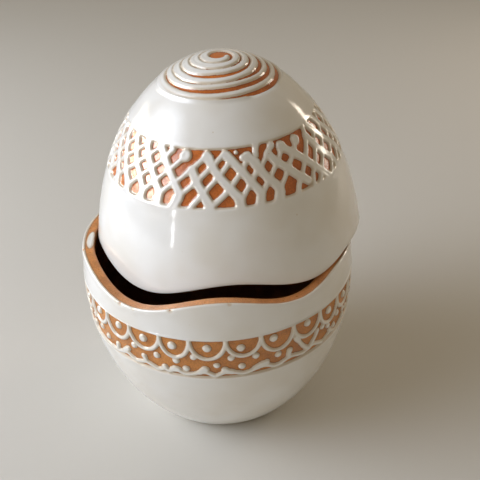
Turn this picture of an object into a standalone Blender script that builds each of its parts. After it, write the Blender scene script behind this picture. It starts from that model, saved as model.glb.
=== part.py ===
"""A lidded ceramic easter egg: a bowl, and a lid that rests on it a little askew.

The two pieces are one turned egg cut apart along a wavy line. White slip stands proud of the
terracotta: a scalloped band with dots round the bowl, a lattice round the lid, and a coil on its top.
"""

import math
from functools import partial

import bmesh
import bpy
from mathutils import Euler, Matrix, Vector
from mathutils.bvhtree import BVHTree

# The egg, in metres and degrees, on a flat foot at height 0
EGG_RADIUS = 0.075
WIDEST_HEIGHT = 0.0832
LOWER_LENGTH = 0.1016
UPPER_LENGTH = 0.1187
LOWER_RISE = 2.0
LOWER_BULGE = 1.96
UPPER_RISE = 2.02
UPPER_BULGE = 1.87
WALL = 0.0066
FLOOR = 0.0075
FLOOR_ROUND = 0.009
FOOT_ROUND = 0.003

# The wavy cut: each crest and trough by its angle from the front and its height over the mean cut
CUT_HEIGHT = 0.108
CUT_TURNS = (
    (-69, 0.0003),
    (-37.5, -0.0050),
    (2, 0.0046),
    (36.5, -0.0028),
    (62, 0.0017),
    (101, -0.0014),
    (133, 0.0039),
    (163, -0.0029),
    (195, 0.0),
    (227, -0.0024),
    (261, -0.0007),
    (281, -0.0003),
)

# How the lid rests: pushed to the right and back, leaning on three crests
LID_SHIFT = (0.0067, 0.0122)
LID_LEAN = (0.46, -1.64)
CLEARANCE = 0.0003

# Slip and the bare bands
SLIP_HEIGHT = 0.001
SLIP_EDGE = 0.0005

SCALLOP_LOW = -8.2
SCALLOP_HIGH = 3.8
SCALLOP_COUNT = 28
SCALLOP_ANGLE = 3.6
SCALLOP_DEPTH = 0.0105
SCALLOP_LINE = 0.0022
WEB_DEPTH = 0.0073
GARLAND_PEAK = 0.0035
DOT_RADIUS = 0.0022
DOT_HEIGHT = 0.0012
UPPER_DOT_DROP = 0.0048
LOWER_DOT_DROP = 0.0160

LATTICE_LOW = 33.7
LATTICE_HIGH = 48.9
LATTICE_COUNT = 34
LATTICE_ANGLE = -9.0
STRAND_WIDTH = 0.0029

COIL_START = 0.0055
COIL_PITCH = 0.0039
COIL_TURNS = 6
COIL_WIDTH = 0.0036

# How finely the shapes are faceted
SCALLOP_CUT_COUNT = 2
DOT_SIDES = 5
COIL_POINTS_PER_TURN = 12
COIL_RINGS = 4
REST_ANGLES = 720
REST_STEP = 0.0004

WHITE = (0.83, 0.82, 0.79, 1.0)
TERRACOTTA = (0.50, 0.16, 0.05, 1.0)


def latitude_of(height):
    """The latitude of the egg's surface at a height: 0 at its widest line, a quarter turn at the top."""
    if height >= WIDEST_HEIGHT:
        share = min((height - WIDEST_HEIGHT) / UPPER_LENGTH, 1.0)
        return math.asin(share ** (UPPER_RISE / 2))
    share = min((WIDEST_HEIGHT - height) / LOWER_LENGTH, 1.0)
    return -math.asin(share ** (LOWER_RISE / 2))


def egg_point(latitude, depth=0.0):
    """The radius and height of the point this deep under the egg's surface."""
    length, rise, bulge = UPPER_LENGTH, UPPER_RISE, UPPER_BULGE
    side = 1.0
    if latitude < 0.0:
        length, rise, bulge = LOWER_LENGTH, LOWER_RISE, LOWER_BULGE
        side = -1.0
    across = max(math.cos(latitude), 0.0) ** (2 / bulge)
    along = abs(math.sin(latitude)) ** (2 / rise)
    outward = Vector((bulge * across ** (bulge - 1) / EGG_RADIUS, rise * along ** (rise - 1) / length))
    outward.normalize()
    radius = EGG_RADIUS * across - depth * outward.x
    height = WIDEST_HEIGHT + side * (length * along - depth * outward.y)
    return radius, height


def wall_latitude(height, depth):
    """The latitude whose point this deep in the wall lies at the height."""
    latitude = latitude_of(height)
    for _ in range(8):
        drop = egg_point(latitude)[1] - egg_point(latitude, depth)[1]
        latitude = latitude_of(height + drop)
    return latitude


def eased(share):
    """A smooth step from 0 to 1."""
    return (1 - math.cos(math.pi * share)) / 2


def cut_height(angle):
    """The height of the wavy cut at an angle from the front, or its mean height where none is given."""
    if angle is None:
        return CUT_HEIGHT
    first = CUT_TURNS[0][0]
    turned = first + (angle - first) % 360
    ends = CUT_TURNS[1:] + ((first + 360, CUT_TURNS[0][1]),)
    for (start, low), (end, high) in zip(CUT_TURNS, ends):
        if turned <= end:
            return CUT_HEIGHT + low + (high - low) * eased((turned - start) / (end - start))
    return CUT_HEIGHT + CUT_TURNS[0][1]


def fixed_ring(spot, angle):
    """A ring that stays level: its spot is its radius and height."""
    return spot


def egg_ring(latitude, depth, slide, angle):
    """A ring on the egg, which follows the cut by its share of slide."""
    mean = wall_latitude(CUT_HEIGHT, depth)
    wave = wall_latitude(cut_height(angle), depth) - mean
    return egg_point(latitude + slide * wave, depth)


def rings_between(start, end, count, depth):
    """Level rings strictly between two latitudes."""
    step = (end - start) / (count + 1)
    return [partial(egg_ring, start + step * (i + 1), depth, 0.0) for i in range(count)]


def rings_to_cut(start, count, depth):
    """Rings from a latitude to the cut, the last one on it, each following it more closely."""
    span = wall_latitude(CUT_HEIGHT, depth) - start
    shares = [(i + 1) / count for i in range(count)]
    return [partial(egg_ring, start + span * share, depth, share) for share in shares]


def rounded_corner(start, corner, end):
    """The middle point of a curve that rounds a corner of the profile."""
    return tuple((a + 2 * b + c) / 4 for a, b, c in zip(start, corner, end))


def on_surface(spot, angle):
    """A profile point turned to an angle from the front, counted towards the right."""
    turn = math.radians(angle)
    return Vector((spot[0] * math.sin(turn), -spot[0] * math.cos(turn), spot[1]))


def angle_of(point):
    """A point's angle from the front, in degrees."""
    return math.degrees(math.atan2(point.x, -point.y))


def material(name, colour, roughness, coat):
    """A glazed or bare ceramic surface."""
    made = bpy.data.materials.new(name)
    made.use_nodes = True
    made.diffuse_color = colour
    shader = made.node_tree.nodes["Principled BSDF"]
    shader.inputs["Base Color"].default_value = colour
    shader.inputs["Roughness"].default_value = roughness
    shader.inputs["Coat Weight"].default_value = coat
    shader.inputs["Metallic"].default_value = 0.0
    return made


def new_object(name, mesh, collection):
    """A mesh object in a collection."""
    made = bpy.data.objects.new(name, mesh)
    collection.objects.link(made)
    return made


def turned_shell(rings, columns, first_angle, collection):
    """A closed shell turned from a profile of rings, with one of its columns at the first angle."""
    spots = [ring(None) for ring in rings]
    mesh = bpy.data.meshes.new("profile")
    points = [(radius, 0.0, height) for radius, height in spots]
    mesh.from_pydata(points, [(i, i + 1) for i in range(len(points) - 1)], [])
    turned = new_object("profile", mesh, collection)
    screw = turned.modifiers.new("Screw", "SCREW")
    screw.steps = columns
    screw.render_steps = columns
    screw.use_merge_vertices = True
    screw.merge_threshold = 0.0001
    shell = bmesh.new()
    evaluated = turned.evaluated_get(bpy.context.evaluated_depsgraph_get())
    shell.from_mesh(evaluated.to_mesh())
    evaluated.to_mesh_clear()
    bpy.data.objects.remove(turned)
    bpy.data.meshes.remove(mesh)
    turn = Matrix.Rotation(math.radians(first_angle - 90), 3, "Z")
    bmesh.ops.rotate(shell, matrix=turn, verts=shell.verts)
    return shell


def nearest_rings(shell, rings):
    """The number of the ring that each vertex of a level shell belongs to."""
    spots = [Vector(ring(None)) for ring in rings]
    found = {}
    for vert in shell.verts:
        spot = Vector((vert.co.xy.length, vert.co.z))
        found[vert] = min(range(len(spots)), key=lambda i: (spots[i] - spot).length_squared)
    return found


def add_columns(shell, rings, chosen, cuts):
    """Divides the edges that run along the chosen rings."""
    where = nearest_rings(shell, rings)
    along = []
    for edge in shell.edges:
        a, b = (where[vert] for vert in edge.verts)
        if a == b and a in chosen:
            along.append(edge)
    bmesh.ops.subdivide_edges(shell, edges=along, cuts=cuts, use_grid_fill=True)


def shape_rings(shell, rings):
    """Moves each vertex to its ring's true place at its angle, and gives each one's ring."""
    where = nearest_rings(shell, rings)
    for vert, number in where.items():
        angle = angle_of(vert.co)
        vert.co = on_surface(rings[number](angle), angle)
    return where


def faces_between(shell, where, high, low):
    """The faces whose vertices all lie on the rings from one number to another."""
    return [face for face in shell.faces if all(high <= where[vert] <= low for vert in face.verts)]


def scallop_share(angle):
    """How far an angle is through its scallop, from 0 to 1."""
    return ((angle - SCALLOP_ANGLE) * SCALLOP_COUNT / 360) % 1.0


def scallop_swing(angle):
    """0 where two scallops meet, and 1 at the lowest point of each: half an ellipse."""
    if angle is None:
        return 0.5
    across = 2 * scallop_share(angle) - 1
    return math.sqrt(max(1 - across * across, 0.0))


def band_ring(top, drop, swing_drop, angle):
    """A ring of the scalloped band, at its drop under the band's top edge."""
    height = egg_point(math.radians(top))[1] - drop - swing_drop * scallop_swing(angle)
    return egg_point(latitude_of(height))


def garland_ring(latitude, angle):
    """The band's lower edge, which rises to a peak under the middle of each scallop."""
    height = egg_point(math.radians(latitude))[1]
    if angle is not None:
        across = abs(2 * scallop_share(angle) - 1)
        height += GARLAND_PEAK * max(1 - 2 * across, 0.0)
    return egg_point(latitude_of(height))


def bowl_rings():
    """The bowl's profile, from the middle of its floor up the inside, over the rim and down to the foot."""
    floor_edge = egg_point(wall_latitude(FLOOR, WALL), WALL)
    wall_start = wall_latitude(FLOOR + FLOOR_ROUND, WALL)
    wall_spot = egg_point(wall_start, WALL)
    floor_spot = (floor_edge[0] - FLOOR_ROUND, FLOOR)
    foot_edge = egg_point(latitude_of(0.0))
    foot_start = latitude_of(FOOT_ROUND)
    foot_spot = (foot_edge[0] - FOOT_ROUND, 0.0)
    inside = [
        partial(fixed_ring, (0.0, FLOOR)),
        partial(fixed_ring, floor_spot),
        partial(fixed_ring, rounded_corner(floor_spot, floor_edge, wall_spot)),
        partial(egg_ring, wall_start, WALL, 0.0),
    ]
    inside += rings_between(wall_start, 0.0, 1, WALL)
    inside.append(partial(egg_ring, 0.0, WALL, 0.0))
    inside += rings_to_cut(0.0, 2, WALL)
    top = math.radians(SCALLOP_HIGH)
    outside = rings_to_cut(top, 2, 0.0)[::-1]
    web = SCALLOP_DEPTH + SCALLOP_LINE - WEB_DEPTH
    band = [
        partial(egg_ring, top, 0.0, 0.0),
        partial(band_ring, SCALLOP_HIGH, 0.0, SCALLOP_DEPTH),
        partial(band_ring, SCALLOP_HIGH, WEB_DEPTH, web),
        partial(garland_ring, SCALLOP_LOW),
    ]
    below = rings_between(math.radians(SCALLOP_LOW), foot_start, 3, 0.0)
    foot = [
        partial(egg_ring, foot_start, 0.0, 0.0),
        partial(fixed_ring, rounded_corner(egg_point(foot_start), foot_edge, foot_spot)),
        partial(fixed_ring, foot_spot),
        partial(fixed_ring, (0.0, 0.0)),
    ]
    return inside, outside, band, below + foot


def sink(shell, faces, edge):
    """Sets a patch of faces back by the slip's height, inside a narrow sloping edge, and bares it."""
    bmesh.ops.inset_region(
        shell,
        faces=faces,
        thickness=edge,
        depth=-SLIP_HEIGHT,
        use_boundary=True,
        use_even_offset=True,
    )
    for face in faces:
        face.material_index = 1


def bare_inside(shell):
    """Gives the cut face and the inside the bare clay's colour."""
    for face in shell.faces:
        middle = face.calc_center_median()
        surface = egg_point(latitude_of(middle.z))[0]
        if middle.z > FOOT_ROUND and middle.xy.length < surface - WALL / 4:
            face.material_index = 1


def bowl_shell(collection):
    """The bowl, with its scalloped band sunk into the slip."""
    inside, outside, band, below = bowl_rings()
    rings = inside + outside + band + below
    first = len(inside) + len(outside)
    top, arc, line, garland = range(first, first + len(band))
    shell = turned_shell(rings, 2 * SCALLOP_COUNT, SCALLOP_ANGLE, collection)
    add_columns(shell, rings, (top, arc, line, garland), SCALLOP_CUT_COUNT)
    where = shape_rings(shell, rings)
    bare_inside(shell)
    windows = faces_between(shell, where, top, arc)
    ground = faces_between(shell, where, line, garland)
    scallops = {}
    for face in windows:
        angle = angle_of(face.calc_center_median())
        number = math.floor((angle - SCALLOP_ANGLE) * SCALLOP_COUNT / 360) % SCALLOP_COUNT
        scallops.setdefault(number, []).append(face)
    cusps = [vert for vert, ring in where.items() if ring in (top, arc)]
    for faces in scallops.values():
        sink(shell, faces, SLIP_EDGE)
    sink(shell, ground, SLIP_EDGE)
    bmesh.ops.remove_doubles(shell, verts=[vert for vert in cusps if vert.is_valid], dist=0.00005)
    return shell


def dots(collection):
    """Two rows of round dots of slip, the upper in the scallops and the lower between them."""
    made = bmesh.new()
    top = egg_point(math.radians(SCALLOP_HIGH))[1]
    for drop, offset in ((UPPER_DOT_DROP, 0.5), (LOWER_DOT_DROP, 0.0)):
        latitude = latitude_of(top - drop)
        foot = egg_point(latitude, 2 * SLIP_HEIGHT)
        face = egg_point(latitude, SLIP_HEIGHT - DOT_HEIGHT)
        height = (Vector(face) - Vector(foot)).length
        for i in range(SCALLOP_COUNT):
            angle = SCALLOP_ANGLE + (i + offset) * 360 / SCALLOP_COUNT
            low = on_surface(foot, angle)
            high = on_surface(face, angle)
            turn = (high - low).to_track_quat("Z", "Y").to_matrix().to_4x4()
            bmesh.ops.create_cone(
                made,
                segments=DOT_SIDES,
                radius1=DOT_RADIUS,
                radius2=DOT_RADIUS * 0.6,
                depth=height,
                cap_ends=True,
                matrix=Matrix.Translation((low + high) / 2) @ turn,
            )
    mesh = bpy.data.meshes.new("bowl_dots")
    made.to_mesh(mesh)
    made.free()
    return new_object("bowl_dots", mesh, collection)


def lid_rings():
    """The lid's profile, from its top down the outside, over the cut and up the inside."""
    peak = math.pi / 2
    low = math.radians(LATTICE_LOW)
    high = math.radians(LATTICE_HIGH)
    cap = [partial(fixed_ring, egg_point(peak))]
    cap += rings_between(peak, high, 5, 0.0)
    band = [
        partial(egg_ring, high, 0.0, 0.0),
        partial(egg_ring, (high + low) / 2, 0.0, 0.0),
        partial(egg_ring, low, 0.0, 0.0),
    ]
    outside = rings_to_cut(low, 2, 0.0)
    inside = rings_to_cut(high, 3, WALL)[::-1]
    inside += rings_between(high, peak, 2, WALL)
    inside.append(partial(fixed_ring, egg_point(peak, WALL)))
    return cap, band, outside, inside


def lid_shell(collection):
    """The lid, with the windows of its lattice sunk between the strands."""
    cap, band, outside, inside = lid_rings()
    rings = cap + band + outside + inside
    first = len(cap)
    high, middle, low = range(first, first + len(band))
    shell = turned_shell(rings, LATTICE_COUNT, LATTICE_ANGLE, collection)
    open_rings = [i for i in range(COIL_RINGS, low + len(outside) + 1) if i != middle]
    add_columns(shell, rings, open_rings, 1)
    where = shape_rings(shell, rings)
    bare_inside(shell)
    cells = faces_between(shell, where, high, low)
    poked = bmesh.ops.poke(shell, faces=cells, offset=0.0)
    heights = [rings[number](0.0)[1] for number in (high, middle, low)]
    for vert in poked["verts"]:
        upper = vert.co.z > heights[1]
        level = (heights[0] + heights[1]) / 2 if upper else (heights[1] + heights[2]) / 2
        vert.co = on_surface(egg_point(latitude_of(level)), angle_of(vert.co))
    lattice = set(poked["faces"])
    upright = []
    for edge in shell.edges:
        inner = len(edge.link_faces) == 2 and all(face in lattice for face in edge.link_faces)
        if inner and not is_diagonal(edge):
            upright.append(edge)
    bmesh.ops.dissolve_edges(shell, edges=upright, use_verts=False)
    low_edge, high_edge = heights[2] - SLIP_HEIGHT / 2, heights[0] + SLIP_HEIGHT / 2
    windows = []
    for face in shell.faces:
        levels = [vert.co.z for vert in face.verts]
        outer = face.calc_center_median().xy.length > egg_point(math.radians(LATTICE_HIGH))[0]
        if outer and face.material_index == 0 and min(levels) > low_edge and max(levels) < high_edge:
            windows.append(face)
    bmesh.ops.inset_individual(
        shell,
        faces=windows,
        thickness=STRAND_WIDTH / 2,
        depth=-SLIP_HEIGHT,
        use_even_offset=True,
    )
    for face in windows:
        face.material_index = 1
    return shell


def is_diagonal(edge):
    """Whether an edge runs neither level nor straight up the egg."""
    first, second = (vert.co for vert in edge.verts)
    level = abs(first.z - second.z) < SLIP_HEIGHT / 4
    turn = (angle_of(first) - angle_of(second) + 180) % 360 - 180
    return not level and abs(turn) > 90 / LATTICE_COUNT


def coil(collection):
    """The trailed coil on the lid's top, sunk into it so that its crown stands proud by the slip's height."""
    path = bpy.data.curves.new("coil_path", "CURVE")
    path.dimensions = "3D"
    path.bevel_depth = COIL_WIDTH / 2
    path.bevel_resolution = 1
    path.use_fill_caps = True
    line = path.splines.new("POLY")
    count = COIL_TURNS * COIL_POINTS_PER_TURN
    line.points.add(count)
    for i, point in enumerate(line.points):
        turns = i / COIL_POINTS_PER_TURN
        radius = COIL_START + COIL_PITCH * turns
        latitude = math.acos((radius / EGG_RADIUS) ** (UPPER_BULGE / 2))
        spot = egg_point(latitude, COIL_WIDTH / 2 - SLIP_HEIGHT)
        point.co = (*on_surface(spot, -360 * turns), 1.0)
    curve = new_object("coil_path", path, collection)
    graph = bpy.context.evaluated_depsgraph_get()
    mesh = bpy.data.meshes.new_from_object(curve.evaluated_get(graph))
    welded = bmesh.new()
    welded.from_mesh(mesh)
    bmesh.ops.remove_doubles(welded, verts=welded.verts, dist=0.00001)
    bmesh.ops.recalc_face_normals(welded, faces=welded.faces)
    welded.to_mesh(mesh)
    welded.free()
    mesh.name = "lid_coil"
    bpy.data.objects.remove(curve)
    bpy.data.curves.remove(path)
    return new_object("lid_coil", mesh, collection)


def resting_lift(bowl_mesh, lid_mesh, pose):
    """How far the lid, turned and shifted by its pose, rises to clear the bowl by the clearance."""
    below = BVHTree.FromPolygons([v.co for v in bowl_mesh.vertices], [p.vertices for p in bowl_mesh.polygons])
    moved = [pose @ v.co for v in lid_mesh.vertices]
    above = BVHTree.FromPolygons(moved, [p.vertices for p in lid_mesh.polygons])
    reach = EGG_RADIUS + math.hypot(*LID_SHIFT)
    start = egg_point(latitude_of(CUT_HEIGHT), 3 * WALL)[0]
    top = WIDEST_HEIGHT + 2 * UPPER_LENGTH
    up = Vector((0, 0, 1))
    needed = []
    for i in range(REST_ANGLES):
        for j in range(int((reach - start) / REST_STEP)):
            spot = on_surface((start + j * REST_STEP, 0.0), 360 * i / REST_ANGLES)
            floor = below.ray_cast(spot + top * up, -up)[0]
            roof = above.ray_cast(spot - top * up, up)[0]
            if floor and roof:
                needed.append(floor.z - roof.z)
    return max(needed) + CLEARANCE


def finished(name, shell, collection, finishes):
    """A shell as a smooth named object."""
    bmesh.ops.recalc_face_normals(shell, faces=shell.faces)
    mesh = bpy.data.meshes.new(name)
    shell.to_mesh(mesh)
    shell.free()
    for finish in finishes:
        mesh.materials.append(finish)
    mesh.shade_smooth()
    mesh.set_sharp_from_angle(angle=math.radians(35))
    return new_object(name, mesh, collection)


def join_slip(piece, slip):
    """Joins trailed slip to a piece, and keeps the slip's own mesh out of sight."""
    slip.hide_render = True
    slip.display_type = "WIRE"
    joined = piece.modifiers.new("Slip", "BOOLEAN")
    joined.operation = "UNION"
    joined.solver = "EXACT"
    joined.object = slip


def build():
    """Makes the bowl, and the lid where it rests."""
    for item in list(bpy.data.objects):
        bpy.data.objects.remove(item)
    egg = bpy.data.collections.new("ceramic_easter_egg")
    tools = bpy.data.collections.new("slip_tools")
    for collection in (egg, tools):
        bpy.context.scene.collection.children.link(collection)
    finishes = (
        material("white_glazed_slip", WHITE, 0.12, 0.6),
        material("clear_glazed_terracotta", TERRACOTTA, 0.3, 0.4),
    )
    bowl = finished("bowl", bowl_shell(tools), egg, finishes)
    lid = finished("lid", lid_shell(tools), egg, finishes)
    lean = Euler((math.radians(LID_LEAN[0]), math.radians(LID_LEAN[1]), 0.0), "XYZ")
    origin = Vector((0.0, 0.0, CUT_HEIGHT))
    lid.data.transform(Matrix.Translation(-origin))
    shifted = origin + Vector((*LID_SHIFT, 0.0))
    lift = resting_lift(bowl.data, lid.data, Matrix.LocRotScale(shifted, lean, None))
    lid.location = shifted + Vector((0.0, 0.0, lift))
    lid.rotation_euler = lean
    join_slip(bowl, dots(tools))
    trail = coil(tools)
    trail.data.transform(Matrix.Translation(-origin))
    trail.parent = lid
    join_slip(lid, trail)


build()
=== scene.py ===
"""The looks of a lidded ceramic egg: white slip trailed over terracotta.

The egg is a bowl and a lid that rests askew on it, and each half is one turned surface. Geometry Nodes
raise the trailed slip along guide paths laid out on the egg, and store how far each point is from the
slip's edge. The glaze reads that distance to change from white slip to bare clay.
"""

from __future__ import annotations

import logging
import math
from dataclasses import dataclass, field
from enum import Enum
from functools import partial
from typing import NamedTuple, Sequence

import bpy
import numpy as np
from bpy.types import AreaLight, Material, Node, NodeSocket, NodeTree, Object
from mathutils import Euler, Matrix, Vector

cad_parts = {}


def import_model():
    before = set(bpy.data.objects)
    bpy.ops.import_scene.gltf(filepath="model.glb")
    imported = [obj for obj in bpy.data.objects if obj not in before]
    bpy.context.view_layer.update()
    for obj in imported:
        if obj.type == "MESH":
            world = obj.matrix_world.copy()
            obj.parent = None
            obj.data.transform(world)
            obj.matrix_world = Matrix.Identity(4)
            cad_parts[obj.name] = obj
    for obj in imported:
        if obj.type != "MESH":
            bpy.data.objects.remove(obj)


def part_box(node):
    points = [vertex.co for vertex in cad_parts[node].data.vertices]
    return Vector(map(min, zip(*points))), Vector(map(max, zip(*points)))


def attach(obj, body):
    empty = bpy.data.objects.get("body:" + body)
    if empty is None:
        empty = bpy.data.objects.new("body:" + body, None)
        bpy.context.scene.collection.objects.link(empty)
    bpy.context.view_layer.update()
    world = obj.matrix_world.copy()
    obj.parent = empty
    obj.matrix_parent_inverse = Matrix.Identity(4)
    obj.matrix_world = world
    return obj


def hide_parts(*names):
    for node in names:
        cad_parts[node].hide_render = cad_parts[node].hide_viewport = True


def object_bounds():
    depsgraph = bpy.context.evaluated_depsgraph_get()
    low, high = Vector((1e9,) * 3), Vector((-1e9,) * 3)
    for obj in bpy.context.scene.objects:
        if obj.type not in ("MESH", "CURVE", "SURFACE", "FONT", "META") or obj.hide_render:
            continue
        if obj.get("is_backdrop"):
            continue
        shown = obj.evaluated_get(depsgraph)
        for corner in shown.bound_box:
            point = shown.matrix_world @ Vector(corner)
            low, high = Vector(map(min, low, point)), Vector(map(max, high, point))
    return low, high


LOG = logging.getLogger("ceramic_egg")
MM = 0.001
BODY = "root"


# Small helpers


def linear(code: str) -> tuple[float, float, float, float]:
    """Turns an sRGB hex colour into a linear one, with the numbers of the sRGB standard.

    Args:
        code: six hex digits.

    Returns:
        The linear red, green and blue, and 1 for alpha.
    """
    parts = []
    for i in (0, 2, 4):
        value = int(code[i : i + 2], 16) / 255
        parts.append(value / 12.92 if value <= 0.04045 else ((value + 0.055) / 1.055) ** 2.4)
    return (*parts, 1.0)


def add_node(tree: NodeTree, kind: str, inputs: dict | None = None, **settings) -> Node:
    """Adds a node with its settings, values and links.

    Args:
        tree: the tree it goes in.
        kind: the node's type.
        inputs: a value, a socket or a node for each input, by name or number.
        settings: the node's own properties.

    Returns:
        The new node.
    """
    node = tree.nodes.new(kind)
    for name, value in settings.items():
        setattr(node, name, value)
    for key, value in (inputs or {}).items():
        if isinstance(value, Node):
            value = value.outputs[0]
        if isinstance(value, NodeSocket):
            tree.links.new(value, node.inputs[key])
        else:
            node.inputs[key].default_value = value
    return node


def add_object(name: str, data: bpy.types.ID) -> Object:
    """Makes an object and links it to the scene.

    Args:
        name: the object's name.
        data: its mesh, light or camera.

    Returns:
        The new object.
    """
    made = bpy.data.objects.new(name, data)
    bpy.context.scene.collection.objects.link(made)
    return made


def columns(count: int) -> np.ndarray:
    """The angles of evenly spaced columns, in degrees from the front."""
    return np.arange(count) * 360.0 / count


def rounded(start: float, corner: float, end: float, share: float) -> float:
    """A value this share of the way along the curve that rounds a corner."""
    return (1 - share) ** 2 * start + 2 * share * (1 - share) * corner + share**2 * end


def smooth_path(stops: np.ndarray, step: float) -> np.ndarray:
    """Draws a smooth curve through points.

    Args:
        stops: the points, one a row, with any number of values each.
        step: the spacing of the curve's points, in the units of the first two values.

    Returns:
        The curve's points, one a row.
    """
    stops = np.asarray(stops, float)
    before = np.vstack([2 * stops[0] - stops[1], stops, 2 * stops[-1] - stops[-2]])
    out = []
    for i in range(1, len(before) - 2):
        a, b, c, d = before[i - 1 : i + 3]
        count = max(int(np.hypot(*(c - b)[:2]) / step), 2)
        t = np.arange(count)[:, None] / count
        square = (2 * a - 5 * b + 4 * c - d) * t**2
        cube = (3 * b - a - 3 * c + d) * t**3
        out.append(0.5 * (2 * b + (c - a) * t + square + cube))
    return np.vstack(out + [stops[-1:]])


# The egg's form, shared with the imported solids


@dataclass(frozen=True)
class EggForm:
    """The turned egg, in metres. A latitude is 0 at its widest line and a quarter turn at its top.

    Attributes:
        radius: at the widest line.
        widest: the height of that line.
        lower_length: from that line down to where the egg would close.
        upper_length: from that line up to the top.
        lower_rise: the power of the lower half's height.
        lower_bulge: the power of the lower half's radius.
        upper_rise: the power of the upper half's height.
        upper_bulge: the power of the upper half's radius.
        wall: the thickness of the wall.
        floor: the height of the bowl's floor.
        floor_round: how far the floor's corner is rounded.
        foot_round: how far the foot's edge is rounded.
        wall_tries: how often a place in the wall is worked out anew.
        meridian_points: how many points the measured meridian has.
    """

    radius: float = 0.075
    widest: float = 0.0832
    lower_length: float = 0.1016
    upper_length: float = 0.1187
    lower_rise: float = 2.0
    lower_bulge: float = 1.96
    upper_rise: float = 2.02
    upper_bulge: float = 1.87
    wall: float = 0.0066
    floor: float = 0.0075
    floor_round: float = 0.009
    foot_round: float = 0.003
    wall_tries: int = 8
    meridian_points: int = 4001

    def latitude_of(self, height: np.ndarray | float) -> np.ndarray:
        """Finds the latitude of the surface at a height.

        Args:
            height: one or more heights.

        Returns:
            The latitudes, in radians.
        """
        height = np.asarray(height, float)
        above = np.clip((height - self.widest) / self.upper_length, 0, 1)
        below = np.clip((self.widest - height) / self.lower_length, 0, 1)
        upper = np.arcsin(above ** (self.upper_rise / 2))
        lower = -np.arcsin(below ** (self.lower_rise / 2))
        return np.where(height >= self.widest, upper, lower)

    def point(self, latitude: np.ndarray | float, depth: float = 0.0) -> tuple[np.ndarray, np.ndarray]:
        """Finds a point on or under the surface.

        Args:
            latitude: one or more latitudes, in radians.
            depth: how far under the surface, in metres.

        Returns:
            The radius and the height.
        """
        latitude = np.asarray(latitude, float)
        upper = latitude >= 0
        length = np.where(upper, self.upper_length, self.lower_length)
        rise = np.where(upper, self.upper_rise, self.lower_rise)
        bulge = np.where(upper, self.upper_bulge, self.lower_bulge)
        side = np.where(upper, 1.0, -1.0)
        across = np.maximum(np.cos(latitude), 0.0) ** (2 / bulge)
        along = np.abs(np.sin(latitude)) ** (2 / rise)
        out = bulge * across ** (bulge - 1) / self.radius
        lift = rise * along ** (rise - 1) / length
        size = np.hypot(out, lift)
        radius = self.radius * across - depth * out / size
        height = self.widest + side * (length * along - depth * lift / size)
        return radius, height

    def wall_latitude(self, height: np.ndarray | float, depth: float) -> np.ndarray:
        """Finds the latitude whose point this deep in the wall lies at a height.

        Args:
            height: one or more heights.
            depth: how deep in the wall, in metres.

        Returns:
            The latitudes, in radians.
        """
        latitude = self.latitude_of(height)
        for _ in range(self.wall_tries):
            drop = self.point(latitude)[1] - self.point(latitude, depth)[1]
            latitude = self.latitude_of(height + drop)
        return latitude

    def length_to(self, latitude: np.ndarray | float) -> np.ndarray:
        """The length along the surface from the foot's end of the egg up to a latitude."""
        table, lengths = self._meridian()
        return np.interp(latitude, table, lengths)

    def latitude_at(self, length: np.ndarray | float) -> np.ndarray:
        """The latitude that lies this far up the surface."""
        table, lengths = self._meridian()
        return np.interp(length, lengths, table)

    def _meridian(self) -> tuple[np.ndarray, np.ndarray]:
        """Measures the surface from end to end.

        Returns:
            Latitudes, and the length along the surface to each.
        """
        table = np.linspace(-math.pi / 2, math.pi / 2, self.meridian_points)
        radius, height = self.point(table)
        steps = np.hypot(np.diff(radius), np.diff(height))
        return table, np.concatenate([[0.0], np.cumsum(steps)])

    @staticmethod
    def turned(radius: np.ndarray, height: np.ndarray, angle: np.ndarray) -> np.ndarray:
        """Turns radii and heights about the egg's axis.

        Args:
            radius: one for each angle, or one for all.
            height: one for each angle, or one for all.
            angle: in degrees from the front, counted towards the right.

        Returns:
            The points in space, one a row.
        """
        turn = np.radians(angle)
        radius = np.broadcast_to(radius, turn.shape)
        height = np.broadcast_to(height, turn.shape)
        return np.stack([radius * np.sin(turn), -radius * np.cos(turn), height], -1)


@dataclass(frozen=True)
class WavyCut:
    """The wavy line along which the egg was cut apart.

    Attributes:
        height: its mean height.
        turns: where it turns up or down: each turn's angle, and its height over the mean.
    """

    height: float = 0.108
    turns: tuple[tuple[float, float], ...] = (
        (-69, 0.0003), (-37.5, -0.0050), (2, 0.0046), (36.5, -0.0028), (62, 0.0017), (101, -0.0014),
        (133, 0.0039), (163, -0.0029), (195, 0.0), (227, -0.0024), (261, -0.0007), (281, -0.0003),
    )

    def at(self, angle: np.ndarray) -> np.ndarray:
        """Finds the cut's height.

        Args:
            angle: the places, in degrees from the front.

        Returns:
            The height at each.
        """
        places = np.array([turn[0] for turn in self.turns] + [self.turns[0][0] + 360.0])
        heights = np.array([turn[1] for turn in self.turns] + [self.turns[0][1]])
        turned = places[0] + (angle - places[0]) % 360
        i = np.clip(np.searchsorted(places, turned, side="right") - 1, 0, len(places) - 2)
        share = (turned - places[i]) / (places[i + 1] - places[i])
        eased = (1 - np.cos(math.pi * share)) / 2
        return self.height + heights[i] + (heights[i + 1] - heights[i]) * eased


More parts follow.
